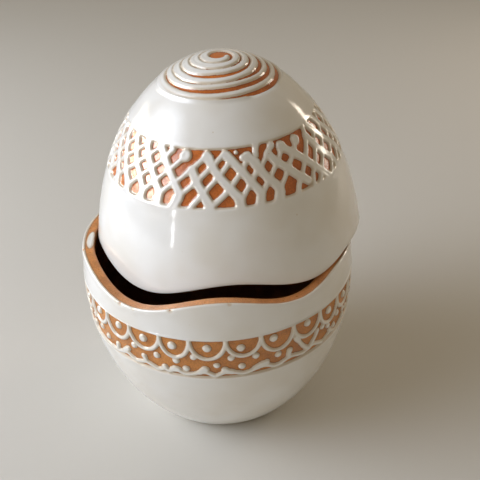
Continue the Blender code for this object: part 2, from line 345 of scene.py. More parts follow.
@dataclass(frozen=True)
class LidPose:
    """Where the lid rests, off the bowl's axis.

    Attributes:
        shift: how far to the right and to the back, in metres.
        lift: how far up.
        lean: its turns about the line to the right and the line to the back, in degrees.
    """

    shift: tuple[float, float] = (0.0067, 0.0122)
    lift: float = 0.00195
    lean: tuple[float, float] = (0.46, -1.64)

    def matrix(self, cut: WavyCut) -> Matrix:
        """Works out the lid's placing.

        Args:
            cut: the line along which the egg was cut, about whose middle the lid leans.

        Returns:
            The move from the closed egg to where the lid rests.
        """
        pivot = Vector((0, 0, cut.height))
        lean = Euler((math.radians(self.lean[0]), math.radians(self.lean[1]), 0.0), "XYZ")
        moved = Matrix.Translation(pivot + Vector((*self.shift, self.lift)))
        return moved @ lean.to_matrix().to_4x4() @ Matrix.Translation(-pivot)


# Trailed slip

LAYERS = ("First trail", "Second trail", "Spots")
CHIPS = "Chips"
WELL_IN = 5 * MM  # far enough from the slip's edge for its place not to matter


@dataclass(frozen=True)
class Zone:
    """How a stretch of surface takes its slip.

    Attributes:
        sunk: how far the bare clay lies under the surface of the white slip, in metres.
        proud: how far the crown of a trailed line stands over that surface.
        shoulder: the distance from a line's edge to its full height.
        melt: how far neighbouring trails run together.
        tone: the clay's shade, from 0 for deep orange to 1 for pale buff.
    """

    sunk: float
    proud: float
    shoulder: float
    melt: float
    tone: float


class Shade(Enum):
    """The clay's shade in each place."""

    LATTICE = 0.0
    SCALLOPS = 0.5
    INSIDE = 0.75
    RIM = 1.0


LATTICE_ZONE = Zone(0.9 * MM, 0.30 * MM, 1.0 * MM, 1.8 * MM, Shade.LATTICE.value)
SCALLOP_ZONE = Zone(0.85 * MM, 0.25 * MM, 0.85 * MM, 0.9 * MM, Shade.SCALLOPS.value)
COIL_ZONE = Zone(0.5 * MM, 0.50 * MM, 1.1 * MM, 0.3 * MM, Shade.LATTICE.value)
RIM_ZONE = Zone(0.3 * MM, 0.15 * MM, 0.80 * MM, 0.6 * MM, Shade.RIM.value)
INSIDE_ZONE = Zone(0.0, 0.0, 0.80 * MM, 0.6 * MM, Shade.INSIDE.value)
ZONE_FIELDS = ("sunk", "proud", "shoulder", "melt", "tone")


class Trail:
    """Points that a trail of slip follows on the egg, each with the trail's half width there."""

    STEP = 0.35

    def __init__(self, form: EggForm, top: float) -> None:
        """Starts an empty trail.

        Args:
            form: the egg that it lies on.
            top: the latitude, in radians, from which its drops are counted.
        """
        self.form = form
        self.top = form.length_to(top)
        self.points: list[np.ndarray] = []
        self.widths: list[np.ndarray] = []

    def line(self, stops: Sequence[tuple[float, float, float]]) -> None:
        """Adds a smooth line.

        Args:
            stops: the angle in degrees, the drop and the half width in millimetres of each point.
        """
        stops = np.asarray(stops, float)
        middle = self.form.point(self.form.latitude_at(self.top - stops[:, 1].mean() * MM))[0]
        per_degree = math.radians(1) * float(middle) / MM
        flat = stops * (per_degree, 1, 1)
        self._add(smooth_path(flat, self.STEP) / (per_degree, 1, 1))

    def spot(self, angle: float, drop: float, size: float) -> None:
        """Adds a single round spot, its size being its radius in millimetres."""
        self._add(np.array([[angle, drop, size]], float))

    def place(self, point: Sequence[float], size: float) -> None:
        """Adds a spot at a point in space, its size being its radius in millimetres."""
        self.points.append(np.array([point], float))
        self.widths.append(np.array([size * MM]))

    def _add(self, rows: np.ndarray) -> None:
        """Adds points on the egg.

        Args:
            rows: the angle in degrees, the drop and the half width in millimetres of each.
        """
        latitude = self.form.latitude_at(self.top - rows[:, 1] * MM)
        radius, height = self.form.point(latitude)
        self.points.append(self.form.turned(radius, height, rows[:, 0]))
        self.widths.append(rows[:, 2] * MM)

    def guide(self, name: str) -> Object:
        """Makes the object whose vertices the relief reads.

        Args:
            name: the object's name.

        Returns:
            A mesh object of loose vertices with a half_width attribute, one of them far off the egg
            so that an empty trail has a point too.
        """
        far_off = np.array([[0.0, 0.0, -1.0]])
        points = np.vstack(self.points + [far_off])
        widths = np.concatenate(self.widths + [np.zeros(1)])
        mesh = bpy.data.meshes.new(name)
        mesh.vertices.add(len(points))
        mesh.vertices.foreach_set("co", points.astype(np.float32).ravel())
        half = mesh.attributes.new("half_width", "FLOAT", "POINT")
        half.data.foreach_set("value", widths.astype(np.float32))
        return add_object(name, mesh)


@dataclass(frozen=True)
class TrailedRelief:
    """The Geometry Nodes tree that raises trailed slip on a surface.

    Attributes:
        wander: how far the edge of a trail wanders, in metres.
        wander_size: the spacing of that wandering.
        ripple: how uneven the hand-made surface is.
        ripple_size: the spacing of that unevenness.
        full: how far from the slip's edge its thicker rim starts to level out.
        fade: how far from the slip's edge that rim has levelled out.
        seed: moves the random patterns.
    """

    wander: float = 0.22 * MM
    wander_size: float = 5 * MM
    ripple: float = 0.10 * MM
    ripple_size: float = 17 * MM
    full: float = 1.6 * MM
    fade: float = 4.5 * MM
    seed: float = 3.0

    def sizes(self) -> dict[str, float]:
        """The sizes by the names of the tree's inputs."""
        names = ("wander", "wander_size", "ripple", "ripple_size", "full", "fade", "seed")
        return {name.capitalize().replace("_", " "): getattr(self, name) for name in names}

    def tree(self) -> NodeTree:
        """Builds the tree.

        Returns:
            A geometry node tree with the guides, the sizes and the glaze as inputs.
        """
        tree = bpy.data.node_groups.new("Trailed slip", "GeometryNodeTree")
        tree.interface.new_socket("Geometry", in_out="OUTPUT", socket_type="NodeSocketGeometry")
        kinds = {"Geometry": "Geometry", **dict.fromkeys((*LAYERS, CHIPS), "Object")}
        kinds |= {**dict.fromkeys(self.sizes(), "Float"), "Glaze": "Material"}
        for name, kind in kinds.items():
            tree.interface.new_socket(name, in_out="INPUT", socket_type="NodeSocket" + kind)
        add = partial(add_node, tree)
        start = add("NodeGroupInput").outputs
        edge = self._slip_edge(tree, start)
        height = self._height(tree, start, edge)
        normal = add("GeometryNodeInputNormal")
        offset = add("ShaderNodeVectorMath", {0: normal, "Scale": height}, operation="SCALE")
        moved = add("GeometryNodeSetPosition", {"Geometry": start["Geometry"], "Offset": offset})
        in_mm = add("ShaderNodeMath", {0: edge, 1: 1 / MM}, operation="MULTIPLY")
        stored = {"Geometry": moved, "Name": "slip_edge_mm", "Value": in_mm}
        kept = add("GeometryNodeStoreNamedAttribute", stored, data_type="FLOAT", domain="POINT")
        real = add("GeometryNodeRealizeInstances", {"Geometry": kept})
        dressed = add("GeometryNodeSetMaterial", {"Geometry": real, "Material": start["Glaze"]})
        add("NodeGroupOutput", {"Geometry": dressed})
        return tree

    @staticmethod
    def _distance(tree: NodeTree, guide: NodeSocket) -> Node:
        """Measures from each point to the edge of the nearest trail of a guide.

        Args:
            tree: the tree the nodes go in.
            guide: the guide object's socket.

        Returns:
            The node whose output is the distance, below 0 inside the trail.
        """
        add = partial(add_node, tree)
        shape = add("GeometryNodeObjectInfo", {"Object": guide}).outputs["Geometry"]
        here = add("GeometryNodeInputPosition")
        nearest = add("GeometryNodeSampleNearest", {"Geometry": shape}, domain="POINT")
        half_width = add("GeometryNodeInputNamedAttribute", {"Name": "half_width"}, data_type="FLOAT")
        found = []
        for value, kind in ((here, "FLOAT_VECTOR"), (half_width, "FLOAT")):
            sampled = {"Geometry": shape, "Index": nearest, "Value": value}
            found.append(add("GeometryNodeSampleIndex", sampled, data_type=kind, domain="POINT"))
        spot, width = found
        far = add("ShaderNodeVectorMath", {0: here, 1: spot}, operation="DISTANCE").outputs["Value"]
        return add("ShaderNodeMath", {0: far, 1: width}, operation="SUBTRACT")

    @staticmethod
    def _uneven(
        tree: NodeTree, start: bpy.types.NodeOutputs, length: Node, kind: str, detail: float
    ) -> Node:
        """Adds smooth noise to a length.

        Args:
            tree: the tree the nodes go in.
            start: the tree's inputs.
            length: the node that gives the even length.
            kind: the input that holds the noise's strength, and with " size" its spacing.
            detail: how many finer layers it has.

        Returns:
            The node that gives the uneven length.
        """
        add = partial(add_node, tree)
        scale = add("ShaderNodeMath", {0: 1.0, 1: start[kind + " size"]}, operation="DIVIDE")
        values = {"W": start["Seed"], "Scale": scale, "Detail": detail}
        noise = add("ShaderNodeTexNoise", values, noise_dimensions="4D")
        about_zero = add("ShaderNodeMath", {0: noise, 1: 0.5}, operation="SUBTRACT")
        twice = add("ShaderNodeMath", {0: start[kind], 1: 2.0}, operation="MULTIPLY")
        return add("ShaderNodeMath", {0: about_zero, 1: twice, 2: length}, operation="MULTIPLY_ADD")

    def _slip_edge(self, tree: NodeTree, start: bpy.types.NodeOutputs) -> Node:
        """Measures to the slip's edge, with all trails run together and the chips taken out.

        Args:
            tree: the tree the nodes go in.
            start: the tree's inputs.

        Returns:
            The node whose output is the distance, below 0 in the slip.
        """
        add = partial(add_node, tree)
        edge = add("GeometryNodeInputNamedAttribute", {"Name": "border"}, data_type="FLOAT")
        melt = add("GeometryNodeInputNamedAttribute", {"Name": "melt"}, data_type="FLOAT")
        for layer in LAYERS:
            distance = self._distance(tree, start[layer])
            edge = add("ShaderNodeMath", {0: edge, 1: distance, 2: melt}, operation="SMOOTH_MIN")
        wandering = self._uneven(tree, start, edge, "Wander", 2.0)
        hole = add("ShaderNodeMath", {0: self._distance(tree, start[CHIPS]), 1: -1.0}, operation="MULTIPLY")
        return add("ShaderNodeMath", {0: wandering, 1: hole}, operation="MAXIMUM")

    def _height(self, tree: NodeTree, start: bpy.types.NodeOutputs, edge: Node) -> Node:
        """Works out how far each point is raised: a rounded bead in the slip, and the sunk clay outside it.

        Args:
            tree: the tree the nodes go in.
            start: the tree's inputs.
            edge: the distance to the slip's edge.

        Returns:
            The node whose output is the height, in metres.
        """
        add = partial(add_node, tree)
        inward = add("ShaderNodeMath", {0: edge, 1: -1.0}, operation="MULTIPLY")
        shoulder = add("GeometryNodeInputNamedAttribute", {"Name": "shoulder"}, data_type="FLOAT")
        share = add("ShaderNodeMath", {0: inward, 1: shoulder}, operation="DIVIDE", use_clamp=True)
        left = add("ShaderNodeMath", {0: 1.0, 1: share}, operation="SUBTRACT")
        squared = add("ShaderNodeMath", {0: left, 1: left}, operation="MULTIPLY")
        under = add("ShaderNodeMath", {0: 1.0, 1: squared}, operation="SUBTRACT", use_clamp=True)
        bead = add("ShaderNodeMath", {0: under}, operation="SQRT")
        levelled = {"Value": inward, "From Min": start["Full"], "From Max": start["Fade"]}
        levelled |= {"To Min": 1.0, "To Max": 0.0}
        level = add("ShaderNodeMapRange", levelled, interpolation_type="SMOOTHSTEP")
        full = add("GeometryNodeInputNamedAttribute", {"Name": "proud"}, data_type="FLOAT")
        proud = add("ShaderNodeMath", {0: full, 1: level}, operation="MULTIPLY")
        sunk = add("GeometryNodeInputNamedAttribute", {"Name": "sunk"}, data_type="FLOAT")
        thick = add("ShaderNodeMath", {0: sunk, 1: proud}, operation="ADD")
        raised = add("ShaderNodeMath", {0: bead, 1: thick}, operation="MULTIPLY")
        height = add("ShaderNodeMath", {0: raised, 1: sunk}, operation="SUBTRACT")
        return self._uneven(tree, start, height, "Ripple", 1.0)

    def apply(self, piece: Object, guides: dict[str, Object], glaze: Material) -> None:
        """Raises the slip on a piece, and leaves it a plain mesh.

        Args:
            piece: the object, whose mesh holds the border and the zones' fields.
            guides: the guide object for each layer and for the chips.
            glaze: the piece's material.
        """
        tree = self.tree()
        modifier = piece.modifiers.new("Trailed slip", "NODES")
        modifier.node_group = tree
        values = {**guides, **self.sizes(), "Glaze": glaze}
        for item in tree.interface.items_tree:
            if item.in_out == "INPUT" and item.name in values:
                modifier[item.identifier] = values[item.name]
        graph = bpy.context.evaluated_depsgraph_get()
        raised = piece.evaluated_get(graph)
        mesh = bpy.data.meshes.new_from_object(raised, preserve_all_data_layers=True, depsgraph=graph)
        plain = piece.data
        piece.modifiers.remove(modifier)
        piece.data = mesh
        bpy.data.meshes.remove(plain)
        for guide in guides.values():
            shape = guide.data
            bpy.data.objects.remove(guide)
            bpy.data.meshes.remove(shape)


# Turned surfaces


class TurnedSurface:
    """A closed surface of rings about the egg's axis, running from one pole to the other."""

    def __init__(self) -> None:
        """Starts with no rings."""
        self.rings: list[np.ndarray] = []
        self.fields: dict[str, list[np.ndarray]] = {name: [] for name in ("border", *ZONE_FIELDS)}

    def add(
        self, radius: np.ndarray, height: np.ndarray, angle: np.ndarray, border: np.ndarray, zone: Zone
    ) -> None:
        """Adds a ring.

        Args:
            radius: its radius at each column, or one for all.
            height: its height at each column, or one for all.
            angle: the columns' angles.
            border: the distance to the slip's edge, below 0 in the slip.
            zone: how this stretch takes its slip.
        """
        self.rings.append(EggForm.turned(np.asarray(radius, float), np.asarray(height, float), angle))
        self.fields["border"].append(np.broadcast_to(np.asarray(border, float), angle.shape))
        for name in ZONE_FIELDS:
            self.fields[name].append(np.full(angle.shape, getattr(zone, name)))

    def pole(self, height: float, border: float, zone: Zone) -> None:
        """Adds a point on the axis."""
        self.add(0.0, height, np.zeros(1), border, zone)

    @staticmethod
    def _between(first: int, count: int, second: int, after: int) -> list[tuple[int, ...]]:
        """Joins two rings, whose column counts are the same or one a multiple of the other.

        Args:
            first: the number of the first ring's first vertex.
            count: how many columns that ring has.
            second: the number of the second ring's first vertex.
            after: how many columns that ring has.

        Returns:
            The faces, as their vertices' numbers.
        """
        if count == after:
            ahead = [(i + 1) % count for i in range(count)]
            return [(first + i, second + i, second + ahead[i], first + ahead[i]) for i in range(count)]
        finer = after > count
        wide, few, narrow, many = (first, count, second, after) if finer else (second, after, first, count)
        step = many // few
        middle = step // 2 if few > 1 else step
        faces = []
        for i in range(few):
            here, ahead = wide + i, wide + (i + 1) % few
            fine = [narrow + (i * step + j) % many for j in range(step + 1)]
            faces += [(here, fine[j], fine[j + 1]) for j in range(middle)]
            if few > 1:
                faces.append((here, fine[middle], ahead))
                faces += [(ahead, fine[j], fine[j + 1]) for j in range(middle, step)]
        return faces if finer else [face[::-1] for face in faces]

    def object(self, name: str) -> Object:
        """Makes the surface a mesh object.

        Args:
            name: the object's name.

        Returns:
            A closed, smooth mesh object with the zones' fields as attributes.
        """
        counts = [len(ring) for ring in self.rings]
        starts = [sum(counts[:i]) for i in range(len(counts))]
        faces = []
        for i in range(len(counts) - 1):
            faces += self._between(starts[i], counts[i], starts[i + 1], counts[i + 1])
        mesh = bpy.data.meshes.new(name)
        mesh.from_pydata(np.vstack(self.rings).tolist(), [], faces)
        for field_name, rows in self.fields.items():
            layer = mesh.attributes.new(field_name, "FLOAT", "POINT")
            layer.data.foreach_set("value", np.concatenate(rows).astype(np.float32))
        mesh.shade_smooth()
        return add_object(name, mesh)


# The two halves


@dataclass
class EggHalf:
    """What the bowl and the lid share: the egg's form, its cut, and the rounded, glazed edge along it.

    Attributes:
        form: the whole egg's form.
        cut: the line along which it was cut apart.
        name: the half's name.
        side: 1 where the cut face looks up, and -1 where it looks down.
        outer_round: the radius of the edge between the outside and the cut face, in metres.
        inner_round: the radius of the edge between the cut face and the inside.
        lip: how far the white glaze runs over onto the cut face.
        round_turns: the turns at which a rounded edge has its rings, in degrees.
        face_rings: how many rings the flat of the cut face has.
        rim_columns: how many columns the rim has.
        band_low: the latitude of the bare band's lower edge, in degrees.
        band_high: the latitude of its upper edge.
        row: the spacing of the band's fine rings.
        above_band: how far over the band's upper edge the fine rings start.
        below_band: how far they run past its lower edge.
    """

    form: EggForm
    cut: WavyCut
    name: str = ""
    side: int = 1
    outer_round: float = 0.8 * MM
    inner_round: float = 1.5 * MM
    lip: float = 0.35 * MM
    round_turns: tuple[float, ...] = (0, 22, 45, 68, 90)
    face_rings: int = 10
    rim_columns: int = 480
    band_low: float = 0.0
    band_high: float = 0.0
    row: float = 0.5 * MM
    above_band: float = 1 * MM
    below_band: float = 2.5 * MM

    def edge_rings(self) -> list[tuple]:
        """Lays out the rings over the cut edge, from the inside to the outside.

        Returns:
            The radius, height, angles and border of each ring.
        """
        form, angle, turns = self.form, columns(self.rim_columns), np.radians(self.round_turns)
        level = self.cut.at(angle)
        inside = form.wall_latitude(level - self.side * self.inner_round, form.wall)
        inner_end = form.point(inside, form.wall)[0] + self.inner_round
        outside = form.latitude_of(level - self.side * self.outer_round)
        outer_end = form.point(outside)[0] - self.outer_round
        rings = []
        for turn in turns:
            radius = inner_end - self.inner_round * math.cos(turn)
            height = level - self.side * self.inner_round * (1 - math.sin(turn))
            rings.append((radius, height, angle, outer_end - radius - self.lip))
        for share in np.linspace(0, 1, self.face_rings + 2)[1:-1]:
            radius = inner_end + share * (outer_end - inner_end)
            rings.append((radius, level, angle, outer_end - radius - self.lip))
        for turn in turns[::-1]:
            radius = outer_end + self.outer_round * math.cos(turn)
            height = level - self.side * self.outer_round * (1 - math.sin(turn))
            past = self.outer_round * (math.pi / 2 - turn)
            rings.append((radius, height, angle, np.full(angle.shape, -past - self.lip)))
        return rings

    def rows_to_cut(self, start: float, count: int) -> list[tuple]:
        """Lays out rings on the outside from a level latitude to where the rounded edge starts.

        Args:
            start: the level latitude, in radians.
            count: how many rings follow it.

        Returns:
            The radius, height, angles and border of each ring, the last one short of the edge.
        """
        angle = columns(self.rim_columns)
        end = self.form.latitude_of(self.cut.at(angle) - self.side * self.outer_round)
        rings = []
        for i in range(count):
            latitude = start + (end - start) * (i + 1) / (count + 1)
            radius, height = self.form.point(latitude)
            past = np.abs(self.form.length_to(end) - self.form.length_to(latitude))
            rings.append((radius, height, angle, -past - 2 * self.outer_round))
        return rings

    def band_rings(
        self,
        made: TurnedSurface,
        lengths: np.ndarray,
        angle: np.ndarray,
        edges: tuple[float, float],
        zone: Zone,
    ) -> None:
        """Adds level rings on the outside, which know how far they are into the bare band.

        Args:
            made: the surface to add to.
            lengths: how far up the surface each ring lies.
            angle: the columns' angles.
            edges: the latitudes of the band's lower and upper edge, in radians.
            zone: how this stretch takes its slip.
        """
        form = self.form
        for length in lengths:
            latitude = form.latitude_at(length)
            here = form.length_to(latitude)
            border = np.minimum(form.length_to(edges[1]) - here, here - form.length_to(edges[0]))
            made.add(*form.point(latitude), angle, border, zone)

    def rim_point(self, angle: float, inward: float, under: float = 0.0) -> np.ndarray:
        """Finds a point near the outer edge of the cut face.

        Args:
            angle: in degrees from the front.
            inward: how far in from the egg's surface, in metres.
            under: how far under the cut face.

        Returns:
            The point in space.
        """
        around = np.array([angle], float)
        level = self.cut.at(around) - under
        radius = float(self.form.point(self.form.latitude_of(level))[0][0]) - inward
        return self.form.turned(radius, level, around)[0]

    def lay(self, first: Trail, second: Trail, spots: Trail, chips: Trail) -> None:
        """Lays out the half's slip, and the chips in it; each half has its own."""
        raise NotImplementedError

    def trails(self) -> dict[str, Object]:
        """Makes the guides of the half's trails.

        Returns:
            The guide for each layer and for the chips.
        """
        names = (*LAYERS, CHIPS)
        made = [Trail(self.form, math.radians(self.band_high)) for _ in names]
        self.lay(*made)
        return {name: trail.guide(f"{self.name} {name.lower()}") for name, trail in zip(names, made)}


@dataclass
class Bowl(EggHalf):
    """The bowl: a scalloped band of slip lines and dots between white glazed bands, on a small flat foot.

    Attributes:
        seed: for the unevenness of the slip.
        chip_seed: for the places of the small chips.
        scallops: how many there are round the band.
        tuck: how far their ends reach up into the white slip, in millimetres.
        fullness: the power that gives their rounded form, below 1 for a fuller one.
        scallop_stops: how many stops each of their lines has.
        line_half: the half width of a scallop's line, in millimetres.
        line_swell: its share at the ends, how much more in the middle, and its unevenness.
        garland_half: the half width of the wavy line under them.
        small_dot: the radius of a dot under the scallops at the sides and back.
        border_drop: how far the bare band runs on under its lower edge, in millimetres.
        wall_columns: how many columns the inner and the lower wall have.
        flat_columns: how many columns the floor and the foot have.
        band_columns: how many columns the band has.
        floor_rings: how many rings the floor has.
        corner_rings: how many rings its rounded corner has.
        wall_rings: how many rings the inner wall has.
        upper_rings: how many rings there are between the band and the rim.
        lower_rings: how many rings the lower wall has.
        foot_rings: how many rings the foot's rounded edge has.
        fine_share: the share of the lower wall that has as many columns as the rim.
        flat_shares: where the foot's flat has its rings, as shares of its radius.
        foot_slip: how far into the white slip the foot's edge starts, in metres.
        foot_fade: how much nearer to the bare clay it ends.
        painted_glint_patch: the first angle and the span, in degrees, of the white spots on the rim that
            paint a reflection in the glaze.
        glint_patch_inward: how far in it lies at its start, and how far it comes out, in millimetres.
        glint_patch_size: its half width at its ends, and how much wider it is in its middle.
        glint_patch_spots: how many spots it is made of.
        chips: the angle and the radius in millimetres of each chip in front.
        small_chips: how many small chips there are all round.
        small_chip: their radius in millimetres.
        chip_place: how far in from the rim's outer edge and under it they all lie, in metres.
        front_cusps: the angles where the scallops in front meet.
        front_sags: how far each of them hangs, in millimetres.
        front_dots: the angle, the drop and the radius of each dot in front.
        garland: the angle and the drop of the points of the wavy line in front.
        drips: the angle, the drop and the half width of the points of each drip on it.
        wave: one wave of that line at the sides and back, counted from its place.
        wave_gaps: how far from the line in front the waves start and stop, in degrees.
        wave_drop: the drop from which the drips on the waves start.
    """

    name: str = "bowl"
    seed: int = 11
    chip_seed: int = 5
    band_low: float = -8.2
    band_high: float = 3.8
    scallops: int = 28
    tuck: float = 0.8
    fullness: float = 0.92
    scallop_stops: int = 15
    line_half: float = 1.2
    line_swell: tuple[float, float, float] = (0.84, 0.2, 0.1)
    garland_half: float = 1.35
    small_dot: float = 1.85
    border_drop: float = 1.1
    wall_columns: int = 240
    flat_columns: int = 120
    band_columns: int = 960
    floor_rings: int = 8
    corner_rings: int = 6
    wall_rings: int = 21
    upper_rings: int = 12
    lower_rings: int = 26
    foot_rings: int = 5
    fine_share: float = 0.15
    flat_shares: tuple[float, ...] = (0.95, 0.6, 0.3)
    foot_slip: float = 2 * MM
    foot_fade: float = 3 * MM
    painted_glint_patch: tuple[float, float] = (-91.5, 13.0)
    glint_patch_inward: tuple[float, float] = (4.2, 0.4)
    glint_patch_size: tuple[float, float] = (0.8, 1.15)
    glint_patch_spots: int = 17
    chips: tuple = ((-40, 0.9), (-17, 0.8), (-77.5, 1.3))
    small_chips: int = 7
    small_chip: float = 0.45
    chip_place: tuple[float, float] = (0.2 * MM, 0.3 * MM)
    front_cusps: tuple = (-49.0, -36.0, -22.3, -10.4, 3.4, 17.0, 30.8, 44.5)
    front_sags: tuple = (11.5, 11.0, 11.5, 11.2, 10.3, 11.4, 10.6)
    front_dots: tuple = (
        (-42.0, 3.6, 2.1), (-29.5, 4.5, 2.3), (-17.2, 4.5, 2.3), (-3.7, 4.3, 2.2), (9.0, 5.0, 2.1),
        (22.0, 3.3, 2.2), (37.5, 2.6, 2.1), (-34.4, 11.8, 1.9), (-24.0, 13.2, 1.9), (-16.0, 13.9, 1.9),
        (-12.2, 18.6, 1.9), (-9.0, 10.2, 1.8), (-0.3, 15.5, 1.7), (5.2, 11.0, 1.8), (9.3, 17.3, 1.9),
        (14.8, 11.8, 1.9), (24.0, 14.9, 1.9),
    )
    garland: tuple = (
        (-49, 23.0), (-44.5, 22.4), (-41.3, 20.8), (-38.8, 19.8), (-36.6, 21.2), (-34.2, 22.3),
        (-31.6, 21.2), (-29.0, 20.2), (-26.5, 21.3), (-24.2, 22.6), (-22.4, 22.0), (-20.9, 21.2),
        (-19.3, 22.0), (-16.7, 20.3), (-14.4, 21.2), (-12.3, 22.3), (-9.5, 21.7), (-7.0, 20.6),
        (-4.8, 20.2), (-3.0, 21.3), (-1.0, 22.6), (0.8, 21.7), (2.5, 20.5), (4.8, 20.6), (7.2, 21.2),
        (9.7, 22.2), (12.5, 21.5), (15.0, 20.1), (17.5, 19.6), (20.0, 20.4), (22.0, 21.8), (24.2, 22.0),
        (26.3, 21.0), (28.5, 19.7), (31.0, 19.7), (33.5, 20.7), (36.0, 21.2), (38.5, 20.4),
        (41.0, 19.4), (44.0, 21.0), (47.0, 22.6),
    )
    drips: tuple = (
        ((-40.4, 19.4, 1.48), (-39.2, 17.8, 1.60), (-38.1, 16.6, 1.71)),
        ((-44.6, 20.5, 1.37), (-44.5, 19.0, 1.60), (-44.4, 18.0, 1.71)),
        ((-29.2, 19.8, 1.48), (-29.5, 18.2, 1.48), (-30.0, 16.9, 1.77)),
        ((-21.0, 20.8, 1.48), (-21.0, 20.4, 1.71), (-21.1, 20.0, 1.82)),
        ((-17.8, 20.4, 1.71), (-16.7, 19.9, 2.05), (-15.6, 19.9, 1.82)),
        ((-7.0, 20.6, 1.60), (-5.8, 19.2, 1.94), (-4.9, 18.2, 2.11)),
        ((5.4, 20.4, 1.71), (3.8, 19.7, 1.71), (2.7, 18.5, 1.82)),
        ((14.6, 20.0, 1.71), (16.8, 18.9, 2.17), (19.0, 18.1, 2.05)),
        ((28.8, 19.4, 1.71), (28.7, 17.2, 1.60), (29.1, 14.9, 1.82)),
        ((31.8, 7.6, 1.48), (32.4, 9.2, 1.94), (33.9, 12.8, 1.25), (36.3, 17.4, 1.37), (38.8, 20.2, 1.60)),
        ((43.0, 11.6, 1.60), (42.0, 14.5, 1.37), (39.5, 18.8, 1.48)),
    )
    wave: tuple = ((-0.5, 20.5, 1.1), (2.4, 20.6, 1.1), (5.6, 22.5, 1.0))
    wave_gaps: tuple[float, float] = (4.0, 8.0)
    wave_drop: float = 20.4

    def surface(self) -> TurnedSurface:
        """Builds the bowl's surface, from the middle of its floor over the rim to the middle of its foot.

        Returns:
            The closed surface.
        """
        made = TurnedSurface()
        self._inside(made)
        for ring in self.edge_rings():
            made.add(*ring, RIM_ZONE)
        low, high = math.radians(self.band_low), math.radians(self.band_high)
        for ring in self.rows_to_cut(high, self.upper_rings)[::-1]:
            made.add(*ring, SCALLOP_ZONE)
        length_to = self.form.length_to
        under = float(self.form.latitude_at(length_to(low) - self.border_drop * MM))
        first, last = length_to(high) + self.above_band, length_to(under) - self.below_band
        lengths = np.linspace(first, last, int((first - last) / self.row))
        self.band_rings(made, lengths, columns(self.band_columns), (under, high), SCALLOP_ZONE)
        self._lower_wall(made, last)
        return made

    def _inside(self, made: TurnedSurface) -> None:
        """Adds the floor, its rounded corner and the inner wall.

        Args:
            made: the surface to add to.
        """
        form, wall, angle = self.form, self.form.wall, columns(self.wall_columns)
        corner = float(form.point(float(form.wall_latitude(form.floor, wall)), wall)[0])
        start = float(form.wall_latitude(form.floor + form.floor_round, wall))
        wall_radius, wall_height = (float(v) for v in form.point(start, wall))
        flat = corner - form.floor_round
        made.pole(form.floor, WELL_IN, INSIDE_ZONE)
        for share in np.linspace(0, 1, self.floor_rings + 1)[1:]:
            made.add(flat * share, form.floor, columns(self.flat_columns), WELL_IN, INSIDE_ZONE)
        for share in np.linspace(0, 1, self.corner_rings + 2)[1:-1]:
            radius = rounded(flat, corner, wall_radius, share)
            height = rounded(form.floor, form.floor, wall_height, share)
            made.add(radius, height, angle, WELL_IN, INSIDE_ZONE)
        top = form.wall_latitude(self.cut.at(angle) - self.inner_round, wall)
        for share in np.linspace(0, 1, self.wall_rings + 1)[:-1]:
            made.add(*form.point(start + (top - start) * share, wall), angle, WELL_IN, INSIDE_ZONE)

    def _lower_wall(self, made: TurnedSurface, start: float) -> None:
        """Adds the white wall under the band, the foot's rounded edge and its flat.

        Args:
            made: the surface to add to.
            start: how far up the surface the band's rings end.
        """
        form, angle = self.form, columns(self.wall_columns)
        foot_start = float(form.latitude_of(form.foot_round))
        corner = float(form.point(form.latitude_of(0.0))[0])
        foot_radius = float(form.point(foot_start)[0])
        for share in np.linspace(0, 1, self.lower_rings + 1)[1:]:
            latitude = form.latitude_at(start + share * (form.length_to(foot_start) - start))
            around = columns(self.rim_columns) if share < self.fine_share else angle
            made.add(*form.point(latitude), around, -WELL_IN, SCALLOP_ZONE)
        flat = corner - form.foot_round
        for share in np.linspace(0, 1, self.foot_rings + 1)[1:]:
            radius = rounded(foot_radius, corner, flat, share)
            height = rounded(form.foot_round, 0.0, 0.0, share)
            made.add(radius, height, angle, -self.foot_slip + share * self.foot_fade, RIM_ZONE)
        for share in self.flat_shares:
            made.add(flat * share, 0.0, columns(self.flat_columns), WELL_IN, INSIDE_ZONE)
        made.pole(0.0, WELL_IN, INSIDE_ZONE)

    def cusps(self, rng: np.random.Generator) -> np.ndarray:
        """Lays out the places where the scallops meet.

        Args:
            rng: gives the unevenness of hand work.

        Returns:
            Their angles once round, the first one repeated at the end.
        """
        front = np.array(self.front_cusps)
        room = 360 - (front[-1] - front[0])
        count = self.scallops - len(front) + 1
        rest = front[-1] + room * np.arange(1, count) / count + rng.uniform(-0.6, 0.6, count - 1)
        return np.concatenate([front, rest, [front[0] + 360]])

    def scallop(self, start: float, end: float, sag: float) -> list[tuple[float, float, float]]:
        """Draws one scallop's line, from cusp to cusp, a little wider in its middle.

        Args:
            start: the left cusp's angle.
            end: the right cusp's angle.
            sag: how far its middle hangs under the band's edge, in millimetres.

        Returns:
            The stops of its line.
        """
        stops = []
        ends, middle, uneven = self.line_swell
        for turn in np.linspace(0, math.pi, self.scallop_stops):
            across = (1 - math.cos(turn)) / 2
            drop = (sag + self.tuck) * math.sin(turn) ** self.fullness - self.tuck
            half = self.line_half * (ends + middle * math.sin(turn)) + uneven * math.sin(3 * turn)
            stops.append((start + (end - start) * across, drop, half))
        return stops

